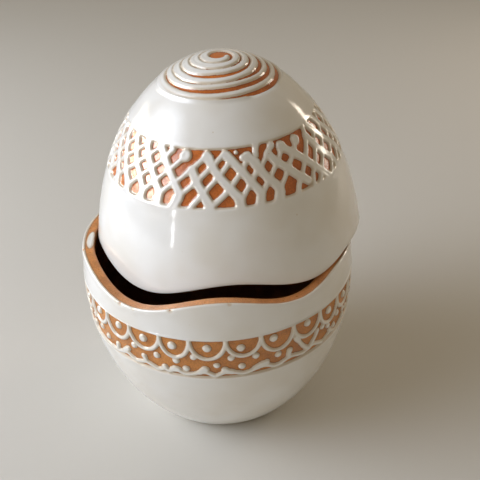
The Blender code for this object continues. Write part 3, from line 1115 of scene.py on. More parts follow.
    def plain_stretch(self, rng: np.random.Generator, cusps: np.ndarray, trails: Sequence[Trail]) -> None:
        """Repeats the dots, the garland and its drips round the sides and back.

        Args:
            rng: gives the unevenness of hand work, each range being an angle, a drop or a size.
            cusps: the angles where the scallops meet.
            trails: the trails for the garland, for its drips and for the dots.
        """
        base, upright, spots = trails
        first = len(self.front_cusps) - 1
        for start, end in zip(cusps[first:-1], cusps[first + 1 :]):
            middle = (start + end) / 2
            spots.spot(middle + rng.uniform(-0.7, 0.7), rng.uniform(3.3, 5.0), rng.uniform(2.1, 2.3))
            spots.spot(start + rng.uniform(0.5, 1.8), rng.uniform(10.0, 12.0), self.small_dot)
            spots.spot(middle + rng.uniform(-1.5, 1.5), rng.uniform(14.0, 15.5), self.small_dot)
            spots.spot(end - rng.uniform(1.5, 3.0), rng.uniform(16.5, 18.0), 1.8)
        wave, foot = [(*self.garland[-1], 1.0)], self.wave_drop
        angle = self.garland[-1][0] + self.wave_gaps[0]
        while angle < 360 + self.garland[0][0] - self.wave_gaps[1]:
            top = rng.uniform(16.2, 18.8)
            lean = rng.uniform(-1.0, 1.0)
            wave += [(angle + along, drop, half) for along, drop, half in self.wave]
            middle = (angle + 0.9, (top + foot) / 2, 1.4)
            upright.line([(angle + 0.4, foot, 1.4), middle, (angle + 1 + lean, top, 1.6)])
            angle += rng.uniform(10.2, 12.2)
        wave.append((360 + self.garland[0][0], self.garland[0][1], 1.0))
        base.line(wave)

    def lay(self, first: Trail, second: Trail, spots: Trail, chips: Trail) -> None:
        """Lays out the slip lines, the dots, the painted reflection on the rim and the chips.

        Args:
            first: takes every other scallop and the garland.
            second: takes the other scallops and the drips.
            spots: takes the dots and the white spots that paint a reflection on the rim.
            chips: takes the chips.
        """
        rng = np.random.default_rng(self.seed)
        cusps = self.cusps(rng)
        for i in range(self.scallops):
            sag = self.front_sags[i] if i < len(self.front_sags) else rng.uniform(10.6, 11.5)
            (first if i % 2 else second).line(self.scallop(cusps[i], cusps[i + 1], sag))
        for dot in self.front_dots:
            spots.spot(*dot)
        first.line([(*stop, self.garland_half) for stop in self.garland])
        for drip in self.drips:
            second.line(drip)
        self.plain_stretch(rng, cusps, (first, second, spots))
        # White slip spots along the rim paint a reflection in the glaze.
        for share in np.linspace(0, 1, self.glint_patch_spots):
            inward = (self.glint_patch_inward[0] - self.glint_patch_inward[1] * share) * MM
            size = self.glint_patch_size[0] + self.glint_patch_size[1] * math.sin(math.pi * share) ** 0.7
            spots.place(self.rim_point(self.painted_glint_patch[0] + self.painted_glint_patch[1] * share, inward), size)
        around = np.random.default_rng(self.chip_seed).uniform(-180, 180, self.small_chips)
        for angle, size in (*self.chips, *((float(angle), self.small_chip) for angle in around)):
            chips.place(self.rim_point(angle, *self.chip_place), size)


@dataclass
class Lid(EggHalf):
    """The lid: a lattice of trailed strands round it, and a coil of slip on its top.

    Attributes:
        seed: for the unevenness of the slip.
        pose: where the lid rests.
        cap_row: the spacing of the rings over the coil, in metres.
        cap_span: how far down from the top they run.
        cap_columns: how far down from the top rings have fewer columns, and how many.
        pole_border: how far the top is from the white slip round the coil.
        inner_columns: how many columns the inside has.
        upper_rings: how many rings there are between the coil and the lattice.
        lower_rings: how many rings there are between the lattice and the cut.
        inner_rings: how many rings the inside has.
        coil_centre: the coil's middle, to the right and to the back of the top.
        coil_step: the spacing of the coil's points, in degrees.
        coil: the turn in degrees, the radius and the half width in millimetres of the coil's points.
        cap_edge: the angle and the radius in millimetres of the edge of the bare ground round the coil.
        falling: the angle and the drop of the points of each strand in front that falls to the right.
        rising: the same for the strands that fall to the left.
        fall: a falling strand at the sides and back, as angles from where it crosses the band's middle.
        rise: the same for a rising strand.
        fallen_half: the half width of the falling strands, in millimetres.
        risen_half: the half width of the rising strands.
        width_range: the least and the most that a strand's half width is multiplied by at its stops.
        crossing_spread: how far a strand at the sides and back lies from its even place, in degrees.
        stop_spread: how far its stops lie from its even slant.
        low_drop: the drop in millimetres from where strands are thicker.
        low_swell: by what share they are thicker there.
        fallen_count: how many falling strands there are.
        risen_count: how many rising strands there are.
        blobs: the angle, the drop and the radius of each blob where strands end.
        swellings: the points of short thick strokes where strands run together.
    """

    name: str = "lid"
    side: int = -1
    rim_columns: int = 360
    band_low: float = 33.7
    band_high: float = 48.9
    seed: int = 23
    pose: LidPose = field(default_factory=LidPose)
    cap_row: float = 0.45 * MM
    cap_span: float = 34.5 * MM
    cap_columns: tuple = ((4 * MM, 90), (10 * MM, 180))
    pole_border: float = 25 * MM
    inner_columns: int = 180
    upper_rings: int = 12
    lower_rings: int = 20
    inner_rings: int = 30
    coil_centre: tuple[float, float] = (0.0, -2.4 * MM)
    coil_step: float = 0.8
    coil: tuple = (
        (75, 4.9, 1.5), (40, 5.3, 1.9), (0, 5.5, 2.19), (-45, 5.8, 2.29), (-90, 6.4, 2.40),
        (-180, 8.2, 2.30), (-270, 9.4, 1.84), (-315, 9.5, 1.89), (-360, 9.8, 2.09), (-405, 10.4, 2.39),
        (-450, 11.3, 2.70), (-540, 12.9, 2.40), (-630, 13.8, 1.79), (-675, 13.8, 1.79),
        (-720, 13.8, 1.74), (-765, 15.1, 2.14), (-810, 16.1, 2.30), (-900, 17.4, 2.30),
        (-990, 18.2, 1.89), (-1040, 18.4, 1.64), (-1080, 19.0, 1.69), (-1120, 19.8, 1.84),
        (-1170, 20.4, 2.35), (-1260, 22.0, 2.30), (-1345, 23.1, 1.44), (-1380, 22.6, 1.24),
        (-1406, 21.9, 1.34), (-1440, 22.0, 1.44), (-1480, 23.2, 1.59), (-1530, 24.2, 2.10),
        (-1620, 26.2, 2.20), (-1705, 27.1, 1.39), (-1740, 26.8, 1.44), (-1766, 26.3, 1.54),
        (-1800, 26.6, 1.54), (-1840, 27.3, 1.59), (-1890, 28.1, 1.90), (-1950, 28.6, 1.90),
    )
    cap_edge: tuple = (
        (-100, 28.2), (-30, 28.0), (0, 28.1), (25, 28.7), (43, 29.9), (60, 30.3), (90, 30.4),
        (130, 29.6), (180, 28.4), (260, 28.2),
    )
    falling: tuple = (
        ((-69.5, 1), (-66, 5.5), (-63.3, 8.5), (-60.1, 12.5), (-56.5, 17.7), (-52, 23.3), (-51, 28)),
        ((-57.5, 0), (-55.5, 3), (-52.7, 7), (-49.2, 12), (-46, 15.3), (-43.9, 18),
         (-41, 22.5), (-40.3, 28)),
        ((-46.5, 0), (-44.3, 4), (-42.1, 7), (-38, 12), (-33.9, 17.5), (-31.1, 22.5), (-30.8, 28)),
        ((-36, -0.5), (-33.5, 3), (-31.7, 5), (-27.6, 10.5), (-23.6, 16),
         (-20.5, 21.5), (-21.5, 25), (-23, 28)),
        ((-14.9, 9.8), (-14.1, 11.2), (-12.4, 15), (-9.3, 20), (-6.8, 24.5), (-5.5, 28)),
        ((-7.3, 2.9), (-5.2, 6.8), (-1.7, 12), (1.6, 16), (4.6, 19.8), (7.2, 23.5), (7.7, 28)),
        ((2.5, 2.5), (5, 5), (8, 8.5), (10, 11), (12.2, 14), (14, 17), (16.2, 20), (17.4, 23), (16.3, 28)),
        ((14, 5), (16.5, 7.5), (18.7, 10.5), (20.7, 14), (22.8, 17), (25.3, 20), (26.8, 23), (25.8, 28)),
        ((25.8, 5.5), (28.3, 9.3), (31.6, 12.5), (34.5, 15.2), (36.8, 18), (39.8, 21), (43, 24)),
        ((34.5, 4), (37.3, 6.3), (40.3, 8.8), (43.6, 11.8), (46.1, 14.4),
         (48.8, 17.5), (51.3, 20.5), (57, 28)),
        ((54.5, 5), (56.5, 9), (58, 12), (60.5, 15.5), (63.5, 19), (67, 23), (68.5, 28)),
    )
    rising: tuple = (
        ((-45, 1), (-49.5, 4.3), (-56.5, 9.8), (-63.5, 16), (-70, 22), (-75, 27.5)),
        ((-35.5, 1), (-38.5, 3.5), (-45.7, 9.5), (-52, 15), (-58.8, 20.7), (-64.5, 27)),
        ((-27.5, 1), (-30.5, 4.8), (-34, 8.4), (-41, 14.8), (-47.5, 21), (-52, 27)),
        ((-19.3, 3.2), (-23.8, 7.5), (-30.5, 13.7), (-37.3, 20.7), (-42, 27)),
        ((-7.3, 2.6), (-13.2, 7.5), (-19.7, 13.3), (-27.3, 19.5), (-33, 26)),
        ((2, 2.4), (-1.2, 4.6), (-5, 8), (-9.6, 12.2), (-13.5, 16), (-16.7, 18.9), (-22, 23.5)),
        ((5.5, 5), (1.4, 9.5), (-2.2, 13.2), (-5.7, 16.8), (-9.5, 21), (-12.5, 24.5), (-15, 28)),
        ((13, 6.5), (11.4, 9.2), (8.6, 12.6), (6.4, 15), (3.6, 18), (0.7, 21.3), (-3, 24.5), (-7, 27.5)),
        ((29, 1.5), (26, 4.5), (22.6, 7.9), (19.6, 10.8), (17, 12.9), (14.2, 16),
         (11.4, 19.8), (8.5, 23.5)),
        ((34.5, 4), (31.6, 8), (28.7, 11), (26, 13.7), (23.3, 16.7), (20.7, 19.6), (18, 23)),
        ((45.3, 3.6), (42.5, 7), (37.7, 11.3), (34.8, 13.9), (30.8, 18.7),
         (28, 21.7), (25.3, 25), (24, 28)),
        ((56, 0), (53.5, 5.5), (49.2, 11), (46.3, 14), (43.7, 17), (40.7, 20.3), (37.3, 24), (35.5, 28)),
        ((64.5, 3), (60.5, 7.5), (57, 12), (54.5, 15), (51.8, 18.3), (48, 22), (46.5, 25), (45.5, 28)),
    )
    fall: tuple = ((-9.5, 0.5), (-6, 5), (0, 12), (5.2, 18), (9, 23), (10, 28))
    rise: tuple = ((11, 1), (6, 6), (0, 12), (-6.4, 18), (-12.5, 24), (-16, 28))
    fallen_half: float = 2.2
    risen_half: float = 1.3
    width_range: tuple[float, float] = (0.93, 1.07)
    crossing_spread: float = 0.9
    stop_spread: float = 0.35
    low_drop: float = 21
    low_swell: float = 0.12
    fallen_count: int = 32
    risen_count: int = 37
    blobs: tuple = (
        (-19.3, 3.1, 3.0), (-27.8, 1.2, 1.6), (-45.5, 1.0, 1.8), (8.4, 1.9, 1.0), (28.8, 1.9, 1.7),
        (34.6, 3.9, 2.8), (45.3, 3.6, 2.7),
    )
    swellings: tuple = (
        ((11.9, 4.8, 1.9), (14.4, 4.9, 2.8), (16.9, 6.6, 2.7), (18.7, 9.6, 2.3)),
        ((18.6, 4.6, 1.7), (19.3, 2.2, 1.6), (20.2, -0.5, 2.0)),
        ((4.0, 4.2, 2.0), (2.4, 2.9, 2.4), (1.6, 3.2, 1.9)),
        ((-5.4, 5.4, 2.2), (-7.4, 3.2, 2.4), (-9.6, 4.6, 1.9)),
    )

    def surface(self) -> TurnedSurface:
        """Builds the lid's surface, from its top over the cut edge and up the inside to its inner pole.

        Returns:
            The closed surface.
        """
        form, made = self.form, TurnedSurface()
        angle, quarter = columns(self.rim_columns), math.pi / 2
        edges = (math.radians(self.band_low), math.radians(self.band_high))
        peak = float(form.length_to(quarter))
        made.pole(float(form.point(quarter)[1]), self.pole_border, COIL_ZONE)
        for length in np.arange(self.cap_row, self.cap_span, self.cap_row):
            radius, height = form.point(form.latitude_at(peak - length))
            count = next((count for reach, count in self.cap_columns if length < reach), self.rim_columns)
            made.add(radius, height, columns(count), self.cap_border(radius, columns(count)), COIL_ZONE)
        first = float(form.length_to(edges[1])) + self.above_band
        last = float(form.length_to(edges[0])) - self.below_band
        upper = np.linspace(peak - self.cap_span, first, self.upper_rings)
        self.band_rings(made, upper, angle, edges, LATTICE_ZONE)
        fine = np.linspace(first - self.row, last, int((first - last) / self.row))
        self.band_rings(made, fine, columns(2 * self.rim_columns), edges, LATTICE_ZONE)
        for ring in self.rows_to_cut(float(form.latitude_at(last)), self.lower_rings):
            made.add(*ring, LATTICE_ZONE)
        for ring in self.edge_rings()[::-1]:
            made.add(*ring, RIM_ZONE)
        coarse = columns(self.inner_columns)
        start = form.wall_latitude(self.cut.at(coarse) + self.inner_round, form.wall)
        for share in np.linspace(0, 1, self.inner_rings + 2)[1:-1]:
            made.add(*form.point(start + (quarter - start) * share, form.wall), coarse, WELL_IN, INSIDE_ZONE)
        made.pole(float(form.point(quarter, form.wall)[1]), WELL_IN, INSIDE_ZONE)
        return made

    def cap_border(self, radius: float, angle: np.ndarray) -> np.ndarray:
        """Measures the distance into the coil's bare ground.

        Args:
            radius: the ring's radius.
            angle: the columns' angles.

        Returns:
            The distance at each column, below 0 on the white cap round the ground.
        """
        turn = np.radians(angle)
        across = radius * np.sin(turn) - self.coil_centre[0]
        along = radius * np.cos(turn) + self.coil_centre[1]
        places, edges = zip(*self.cap_edge)
        direction = (np.degrees(np.arctan2(across, along)) - places[0]) % 360 + places[0]
        return np.interp(direction, places, edges) * MM - np.hypot(across, along)

    def strands(
        self, front: Sequence, shape: Sequence, count: int, half: float, rng: np.random.Generator
    ) -> list[list[tuple[float, float, float]]]:
        """Lays out all strands of one slant: the ones in front, and as many more round the sides and back.

        Args:
            front: the stops of each strand in front, as angles and drops.
            shape: the stops of the others, as angles from where they cross the middle of the band.
            count: how many there are in all.
            half: their half width in millimetres.
            rng: gives the unevenness of hand work.

        Returns:
            The stops of each strand, with its half width at each.
        """
        middle = shape[2][1]
        crossings = []
        for angles, drops in (zip(*front[0]), zip(*front[-1])):
            crossings.append(np.interp(middle, drops, angles))
        room = 360 - (crossings[1] - crossings[0])
        extra = count - len(front)
        paths = [list(stops) for stops in front]
        for i in range(extra):
            here = crossings[1] + room * (i + 1) / (extra + 1)
            here += rng.uniform(-self.crossing_spread, self.crossing_spread)
            aside = [rng.uniform(-self.stop_spread, self.stop_spread) for _ in shape]
            paths.append([(here + lean + by, drop) for (lean, drop), by in zip(shape, aside)])
        lines = []
        for path in paths:
            halves = [half * rng.uniform(*self.width_range) * self.swell(drop) for _, drop in path]
            lines.append([(*stop, half_there) for stop, half_there in zip(path, halves)])
        return lines

    def swell(self, drop: float) -> float:
        """How many times as wide a strand is at this drop."""
        return 1 + self.low_swell * (drop > self.low_drop)

    def coil_points(self) -> list[tuple[np.ndarray, float]]:
        """Winds the coil, with turns of uneven width that touch in places.

        Returns:
            Its points in space, each with its half width.
        """
        per_unit = 20  # degrees of turn that count as much as a millimetre
        stops = np.array(self.coil, float)
        turns = np.arange(stops[-1, 0], stops[0, 0], self.coil_step)[::-1]
        curve = smooth_path(stops[:, (1, 2, 0)] / (1, 1, per_unit), 0.3)
        order = np.argsort(curve[:, 2])
        radius = np.interp(turns / per_unit, curve[order, 2], curve[order, 0]) * MM
        half = np.interp(turns / per_unit, curve[order, 2], curve[order, 1])
        turn = np.radians(turns)
        across = radius * np.sin(turn) + self.coil_centre[0]
        back = -radius * np.cos(turn) + self.coil_centre[1]
        away = np.clip(np.hypot(across, back) / self.form.radius, 0, 1)
        height = self.form.point(np.arccos(away ** (self.form.upper_bulge / 2)))[1]
        return list(zip(np.stack([across, back, height], -1), half))

    def lay(self, first: Trail, second: Trail, spots: Trail, chips: Trail) -> None:
        """Lays out the strands, the blobs and the coil.

        Args:
            first: takes the falling strands and the coil.
            second: takes the rising strands and the swellings.
            spots: takes the blobs.
            chips: stays empty, because the lid shows no chips.
        """
        rng = np.random.default_rng(self.seed)
        for strand in self.strands(self.falling, self.fall, self.fallen_count, self.fallen_half, rng):
            first.line(strand)
        for strand in self.strands(self.rising, self.rise, self.risen_count, self.risen_half, rng):
            second.line(strand)
        for blob in self.blobs:
            spots.spot(*blob)
        for swelling in self.swellings:
            second.line(swelling)
        for point, half in self.coil_points():
            first.place(point, half)


# Finishes

SMOOTH = {"interpolation_type": "SMOOTHSTEP"}
COLOURS = {"data_type": "RGBA"}


@dataclass(frozen=True)
class SlipGlazedEarthenware:
    """White slip trailed over red earthenware, and fired under a clear glaze.

    The glaze gives the slip a mirror's gloss and deepens the clay, which shows orange and grainy between
    the trails. On the cut face it lies thin, so the clay there is paler and a little duller.

    Attributes:
        white: the glazed slip.
        clouded: the slip where its glaze is less even.
        cream_and_edge_shade: the slip where it thins out over the clay at its edges, which also paints the
            shade on the beads' falling sides and in the creases between touching trails.
        speck: the few small specks in it.
        deep_clay: the glazed clay in the lattice.
        ochre_clay: the clay in the scallops, under a thinner glaze.
        brown_clay: the inside.
        buff_clay: the cut face.
        blotch_tint: how much the clay's darker patches let through of red, green and blue.
        grain_tints: the same for its dark grains and its light ones.
        painted_crease_shade: the same for the painted shade on the clay in the crease at the foot of the
            raised slip, partly also the darker glaze that pools there.
        glaze_ior: high for a glaze, which makes its reflections bright.
        slip_gloss: the roughness of the glazed slip, and how much it varies.
        clay_gloss: the same for the glazed clay.
        dry_gloss: how much rougher the cut face is.
        dry_tone: the tone over which the clay counts as the cut face.
        slip_ends: where white turns to clay, in millimetres from the slip's edge.
        cream_shade_starts: where the white starts to thin out and take the painted edge shade, in
            millimetres inside that edge.
        painted_shade_ends: how far from the slip the clay is darkened by painted shade, in millimetres.
        rag: how uneven the slip's edge is, in millimetres.
        ragged: the size of that unevenness, in metres.
        grain: the size of the clay's grains, coarser than real grog so that it shows.
        blotch: the size of the clay's darker patches.
        cloud: the size of the slip's clouds.
        pit: the spacing of the specks in the slip.
        speck_ends: how far from its middle a speck fades out, as shares of their spacing.
        smear: the size of the glaze's duller patches.
        peel: the spacing of the waves in the slip's glaze.
        grain_bump: how strongly the grains show as relief, and their height.
        peel_bump: the same for those waves.
    """

    white: str = "F2F1EE"
    clouded: str = "E9E5DD"
    cream_and_edge_shade: str = "DCCDB8"
    speck: str = "DDD3C3"
    deep_clay: str = "D27432"
    ochre_clay: str = "D0883C"
    brown_clay: str = "8A5630"
    buff_clay: str = "D9945A"
    blotch_tint: tuple[float, ...] = (0.74, 0.68, 0.62, 1)
    grain_tints: tuple[tuple[float, ...], ...] = ((0.86, 0.84, 0.82, 1), (1.1, 1.1, 1.08, 1))
    painted_crease_shade: tuple[float, ...] = (0.55, 0.5, 0.45, 1)
    glaze_ior: float = 1.68
    slip_gloss: tuple[float, float] = (0.10, 0.06)
    clay_gloss: tuple[float, float] = (0.15, 0.22)
    dry_gloss: float = 0.16
    dry_tone: float = 0.8
    slip_ends: tuple[float, float] = (0.42, 0.12)
    cream_shade_starts: float = -1.1
    painted_shade_ends: tuple[float, float] = (0.9, 0.1)
    rag: float = 0.24
    ragged: float = 1.1 * MM
    grain: float = 0.75 * MM
    blotch: float = 9 * MM
    cloud: float = 30 * MM
    pit: float = 14 * MM
    speck_ends: tuple[float, float] = (0.035, 0.02)
    smear: float = 2.2 * MM
    peel: float = 4 * MM
    grain_bump: tuple[float, float] = (0.4, 0.25 * MM)
    peel_bump: tuple[float, float] = (0.25, 0.12 * MM)

    def build(self) -> Material:
        """Builds the material.

        Returns:
            A material that reads the slip_edge_mm and tone attributes.
        """
        made = bpy.data.materials.new("white_slip_trailed_glazed_earthenware")
        made.use_nodes = True
        tree = made.node_tree
        add = partial(add_node, tree)
        shader = tree.nodes["Principled BSDF"]
        place = add("ShaderNodeTexCoord").outputs["Object"]
        edge = add("ShaderNodeAttribute", attribute_name="slip_edge_mm").outputs["Fac"]
        tone = add("ShaderNodeAttribute", attribute_name="tone").outputs["Fac"]
        noise = add("ShaderNodeTexNoise", {"Vector": place, "Scale": 1 / self.ragged, "Detail": 2.0})
        ragged = add("ShaderNodeMath", {0: noise, 1: self.rag, 2: edge}, operation="MULTIPLY_ADD")
        shares = []
        for start in (self.slip_ends[0], self.cream_shade_starts):
            faded = {"Value": ragged, "From Min": start, "From Max": self.slip_ends[1]}
            shares.append(add("ShaderNodeMapRange", faded, **SMOOTH))
        # The second share tints the slip's edges creamy: thinned slip, and also painted shade on the beads'
        # sides and in the creases between trails.
        slip, thin = shares
        clay = self._clay_colour(tree, place, tone, ragged)
        white = self._slip_colour(tree, place, thin)
        colour = add("ShaderNodeMix", {0: slip, 6: clay, 7: white}, **COLOURS)
        tree.links.new(colour.outputs[2], shader.inputs["Base Color"])
        tree.links.new(self._gloss(tree, place, tone, slip).outputs[0], shader.inputs["Roughness"])
        tree.links.new(self._bump(tree, place, slip).outputs[0], shader.inputs["Normal"])
        shader.inputs["IOR"].default_value = self.glaze_ior
        return made

    @staticmethod
    def _patches(
        tree: NodeTree, place: NodeSocket, size: float, detail: float, spread: tuple[float, float]
    ) -> Node:
        """Spreads soft patches over the surface.

        Args:
            tree: the tree the nodes go in.
            place: the place on the piece.
            size: the patches' size in metres.
            detail: how many finer layers they have.
            spread: the noise's values between which a patch fades in.

        Returns:
            The node that gives 0 outside the patches and 1 inside them.
        """
        noise = add_node(tree, "ShaderNodeTexNoise", {"Vector": place, "Scale": 1 / size, "Detail": detail})
        faded = {"Value": noise, "From Min": spread[0], "From Max": spread[1]}
        return add_node(tree, "ShaderNodeMapRange", faded, **SMOOTH)

    def _clay_colour(self, tree: NodeTree, place: NodeSocket, tone: NodeSocket, edge: Node) -> NodeSocket:
        """Colours the clay: orange in the lattice and buff on the cut face, mottled, and with painted shade
        where it meets the raised slip.

        Args:
            tree: the tree the nodes go in.
            place: the place on the piece.
            tone: the clay's shade.
            edge: the distance to the slip's edge, in millimetres.

        Returns:
            The socket that gives the colour.
        """
        add = partial(add_node, tree)
        ramp = add("ShaderNodeValToRGB", {"Fac": tone})
        stops = ramp.color_ramp.elements
        stops[0].color = linear(self.deep_clay)
        stops[1].color = linear(self.buff_clay)
        for shade, code in ((Shade.SCALLOPS, self.ochre_clay), (Shade.INSIDE, self.brown_clay)):
            stops.new(shade.value).color = linear(code)
        blotches = self._patches(tree, place, self.blotch, 4.0, (0.35, 0.7))
        grains = self._patches(tree, place, self.grain, 2.0, (0.3, 0.7))
        # Painted shade: the clay is darkened in the crease at the foot of the raised slip.
        near, far = self.painted_shade_ends
        shadow = add("ShaderNodeMapRange", {"Value": edge, "From Min": near, "From Max": far}, **SMOOTH)
        dark = add("ShaderNodeMix", {0: blotches, 6: (1, 1, 1, 1), 7: self.blotch_tint}, **COLOURS)
        grainy = add("ShaderNodeMix", {0: grains, 6: self.grain_tints[0], 7: self.grain_tints[1]}, **COLOURS)
        colour = ramp.outputs["Color"]
        for share, tint in ((1.0, dark.outputs[2]), (1.0, grainy.outputs[2]), (shadow, self.painted_crease_shade)):
            mixed = add("ShaderNodeMix", {0: share, 6: colour, 7: tint}, blend_type="MULTIPLY", **COLOURS)
            colour = mixed.outputs[2]
        return colour

    def _slip_colour(self, tree: NodeTree, place: NodeSocket, thin: Node) -> NodeSocket:
        """Colours the slip: white, faintly clouded, creamy at its thin edges, where that tint is also
        painted shade on the beads' sides and in the creases, with a few small specks.

        Args:
            tree: the tree the nodes go in.
            place: the place on the piece.
            thin: how far the slip has thinned out at its edges and takes the painted shade there, from 0 to
                1.

        Returns:
            The socket that gives the colour.
        """
        add = partial(add_node, tree)
        clouds = self._patches(tree, place, self.cloud, 2.0, (0.3, 0.75))
        cells = add("ShaderNodeTexVoronoi", {"Vector": place, "Scale": 1 / self.pit}).outputs["Distance"]
        outside, inside = self.speck_ends
        faded = {"Value": cells, "From Min": outside, "From Max": inside}
        specks = add("ShaderNodeMapRange", faded, **SMOOTH)
        colour = linear(self.white)
        # The creamy edge tint is partly painted shade.
        for share, code in ((clouds, self.clouded), (thin, self.cream_and_edge_shade), (specks, self.speck)):
            colour = add("ShaderNodeMix", {0: share, 6: colour, 7: linear(code)}, **COLOURS).outputs[2]
        return colour

    def _gloss(self, tree: NodeTree, place: NodeSocket, tone: NodeSocket, slip: Node) -> Node:
        """Makes the roughness: glossy slip, a duller grainy clay, and a drier cut face.

        Args:
            tree: the tree the nodes go in.
            place: the place on the piece.
            tone: the clay's shade.
            slip: 1 in the slip and 0 on the clay.

        Returns:
            The node that gives the roughness.
        """
        add = partial(add_node, tree)
        smear = add("ShaderNodeTexNoise", {"Vector": place, "Scale": 1 / self.smear, "Detail": 3.0})
        cut_face = {"Value": tone, "From Min": self.dry_tone, "To Min": 0.0, "To Max": self.dry_gloss}
        uneven = []
        for middle, spread in (self.clay_gloss, self.slip_gloss):
            values = {0: smear, 1: spread, 2: middle - spread / 2}
            uneven.append(add("ShaderNodeMath", values, operation="MULTIPLY_ADD"))
        dry = add("ShaderNodeMapRange", cut_face)
        clay = add("ShaderNodeMath", {0: uneven[0], 1: dry}, operation="ADD")
        return add("ShaderNodeMix", {0: slip, 2: clay, 3: uneven[1]}, data_type="FLOAT")

    def _bump(self, tree: NodeTree, place: NodeSocket, slip: Node) -> Node:
        """Makes the finest relief: sandy clay under its glaze, and a faint orange peel on the slip.

        Args:
            tree: the tree the nodes go in.
            place: the place on the piece.
            slip: 1 in the slip and 0 on the clay.

        Returns:
            The node that gives the surface's direction.
        """
        add = partial(add_node, tree)
        grains = add("ShaderNodeTexNoise", {"Vector": place, "Scale": 1 / self.grain, "Detail": 3.0})
        peel = add("ShaderNodeTexNoise", {"Vector": place, "Scale": 1 / self.peel, "Detail": 1.0})
        clay = add("ShaderNodeMath", {0: 1.0, 1: slip}, operation="SUBTRACT")
        sandy = add("ShaderNodeMath", {0: grains, 1: clay}, operation="MULTIPLY")
        strength, height = self.grain_bump
        sand = add("ShaderNodeBump", {"Strength": strength, "Distance": height, "Height": sandy})
        strength, height = self.peel_bump
        waves = {"Strength": strength, "Distance": height, "Height": peel, "Normal": sand}
        return add("ShaderNodeBump", waves)


# The studio


class Lamp(NamedTuple):
    """A soft area light.

    Attributes:
        name: its name.
        place: where it stands, in metres.
        size: its width and height.
        power: in watts.
        colour: an sRGB hex colour.
        gleam_only: whether it shows in the glaze's reflections alone.
    """

    name: str
    place: tuple[float, float, float]
    size: tuple[float, float]
    power: float
    colour: str
    gleam_only: bool = False


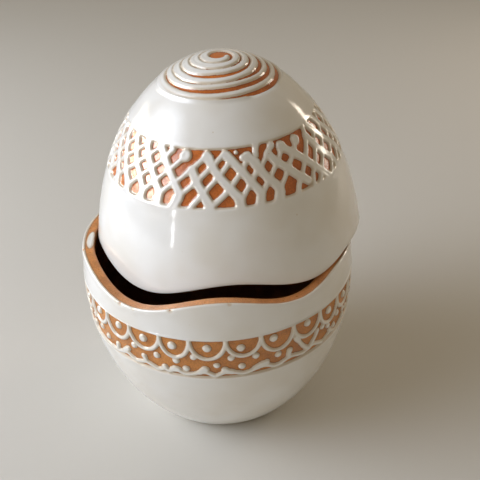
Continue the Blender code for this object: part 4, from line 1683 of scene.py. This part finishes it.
@dataclass(frozen=True)
class Studio:
    """The camera at the photograph's viewing angle, the soft lights and the pale floor.

    Attributes:
        rise: the camera's angle over the level, in degrees.
        distance: from the camera to its target, in metres.
        target: what it looks at.
        roll: how far it is turned about its own axis, in degrees.
        focal: the focal length in pixels of the frame.
        frame: the frame's width in pixels.
        sensor: the camera's sensor width in millimetres.
        aim: what the lights point at.
        lamps: the lights.
        floor_size: the floor's width, in metres.
        floor_squares: how many squares it has along each side.
        floor_colour: a matt pale grey.
        floor_roughness: high for a matt board.
        room_colour: the light from all round.
        room_strength: how strong that light is.
    """

    rise: float = 33.09
    distance: float = 0.4
    target: tuple[float, float, float] = (0.01271, 0.0, 0.10073)
    roll: float = -1.58
    focal: float = 714.52
    frame: int = 480
    sensor: float = 36.0
    aim: tuple[float, float, float] = (0.0, 0.0, 0.1)
    lamps: tuple[Lamp, ...] = (
        Lamp("left_window", (-0.95, -0.14, 0.62), (1.6, 1.3), 58.0, "E9F1FF"),
        Lamp("left_gleam", (-0.98, 0.05, 0.37), (2.2, 0.5), 70.0, "FFF6E0", gleam_only=True),
        Lamp("right_gleam", (0.90, 0.36, 0.23), (0.4, 0.22), 3.0, "FFF4E4", gleam_only=True),
        Lamp("front_window", (-0.78, -0.77, 0.12), (0.05, 0.38), 1.5, "FFFFFF"),
        Lamp("upper_right", (0.80, 0.52, 0.36), (0.16, 0.62), 6.0, "FFEEDC"),
    )
    floor_size: float = 3.0
    floor_squares: int = 24
    floor_colour: str = "D2CFC8"
    floor_roughness: float = 0.8
    room_colour: str = "DBCCB2"
    room_strength: float = 0.40

    def camera(self) -> Object:
        """Sets up the camera and makes it the scene's.

        Returns:
            The camera's object.
        """
        rise, roll = math.radians(self.rise), math.radians(self.roll)
        back = Vector((0.0, -math.cos(rise), math.sin(rise)))
        right = Vector((1.0, 0.0, 0.0))
        up = back.cross(right)
        across = right * math.cos(roll) + up * math.sin(roll)
        upward = up * math.cos(roll) - right * math.sin(roll)
        data = bpy.data.cameras.new("camera")
        data.sensor_fit = "HORIZONTAL"
        data.sensor_width = self.sensor
        data.lens = self.focal * self.sensor / self.frame
        data.clip_start = 10 * MM
        made = add_object("camera", data)
        turn = Matrix((across, upward, back)).transposed().to_4x4()
        made.matrix_world = Matrix.Translation(Vector(self.target) + back * self.distance) @ turn
        bpy.context.scene.camera = made
        return made

    def light(self, lamp: Lamp) -> Object:
        """Adds a light aimed at the egg.

        Args:
            lamp: what it is like.

        Returns:
            The light's object.
        """
        data = bpy.data.lights.new(lamp.name, "AREA")
        data.shape = "RECTANGLE"
        data.size, data.size_y = lamp.size
        data.energy = lamp.power
        data.color = linear(lamp.colour)[:3]
        self._soft_edges(data)
        made = add_object(lamp.name, data)
        turn = (Vector(lamp.place) - Vector(self.aim)).to_track_quat("Z", "Y").to_matrix().to_4x4()
        made.matrix_world = Matrix.Translation(lamp.place) @ turn
        made.visible_diffuse = not lamp.gleam_only
        return made

    @staticmethod
    def _soft_edges(data: AreaLight) -> None:
        """Dims an area light from its middle to its edges, so that its reflection has no hard outline.

        Args:
            data: the light.
        """
        data.use_nodes = True
        tree = data.node_tree
        add = partial(add_node, tree)
        place = add("ShaderNodeNewGeometry").outputs["Parametric"]
        centred = add("ShaderNodeVectorMath", {0: place, 1: (0.5, 0.5, 0.0)}, operation="SUBTRACT")
        flat = add("ShaderNodeVectorMath", {0: centred, 1: (1.0, 1.0, 0.0)}, operation="MULTIPLY")
        away = add("ShaderNodeVectorMath", {0: flat}, operation="LENGTH").outputs["Value"]
        strength = add("ShaderNodeMapRange", {"Value": away, "From Min": 0.5, "From Max": 0.0}, **SMOOTH)
        tree.links.new(strength.outputs[0], tree.nodes["Emission"].inputs["Strength"])

    def floor(self) -> Object:
        """Lays the pale floor that the egg stands on.

        Returns:
            The floor's object.
        """
        side = self.floor_squares
        spots = np.linspace(-self.floor_size / 2, self.floor_size / 2, side + 1)
        points = [(float(x), float(y), 0.0) for y in spots for x in spots]
        corners = [j * (side + 1) + i for j in range(side) for i in range(side)]
        mesh = bpy.data.meshes.new("floor")
        faces = [(here, here + 1, here + side + 2, here + side + 1) for here in corners]
        mesh.from_pydata(points, [], faces)
        matt = bpy.data.materials.new("matt_painted_board")
        matt.use_nodes = True
        shader = matt.node_tree.nodes["Principled BSDF"]
        shader.inputs["Base Color"].default_value = linear(self.floor_colour)
        shader.inputs["Roughness"].default_value = self.floor_roughness
        mesh.materials.append(matt)
        made = add_object("floor", mesh)
        made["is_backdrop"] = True
        return made

    def world(self) -> None:
        """Fills the room with soft, even light."""
        made = bpy.data.worlds.new("soft_room")
        made.use_nodes = True
        back = made.node_tree.nodes["Background"]
        back.inputs["Color"].default_value = linear(self.room_colour)
        back.inputs["Strength"].default_value = self.room_strength
        bpy.context.scene.world = made
        bpy.context.scene.view_settings.view_transform = "Standard"

    def build(self) -> None:
        """Sets up the whole studio."""
        self.camera()
        self.floor()
        self.world()
        for lamp in self.lamps:
            self.light(lamp)


# Putting it together


def dress(half: EggHalf, glaze: Material) -> Object:
    """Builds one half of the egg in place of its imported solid.

    Args:
        half: the bowl or the lid, which has the name of the node that it replaces.
        glaze: its material.

    Returns:
        The finished piece.
    """
    piece = half.surface().object("glazed_" + half.name)
    TrailedRelief().apply(piece, half.trails(), glaze)
    if isinstance(half, Lid):
        piece.data.transform(half.pose.matrix(half.cut))
    piece.data.shade_smooth()
    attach(piece, BODY)
    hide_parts(half.name)
    low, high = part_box(half.name)
    points = np.array([vert.co for vert in piece.data.vertices])
    off_low, off_high = (points.min(0) - low) / MM, (points.max(0) - high) / MM
    LOG.info("%s: %d faces", piece.name, len(piece.data.polygons))
    LOG.info("  off the solid's corners by %s and %s mm", off_low, off_high)
    return piece


def main() -> None:
    """Builds the egg's two halves and the studio around them."""
    logging.basicConfig(level=logging.INFO, format="%(message)s")
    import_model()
    solid_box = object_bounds()
    form, cut = EggForm(), WavyCut()
    glaze = SlipGlazedEarthenware().build()
    dress(Bowl(form, cut), glaze)
    dress(Lid(form, cut), glaze)
    Studio().build()
    boxes = {"cad": solid_box, "visual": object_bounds()}
    {name: [list(corner) for corner in box] for name, box in boxes.items()}


if __name__ == "__main__":
    main()
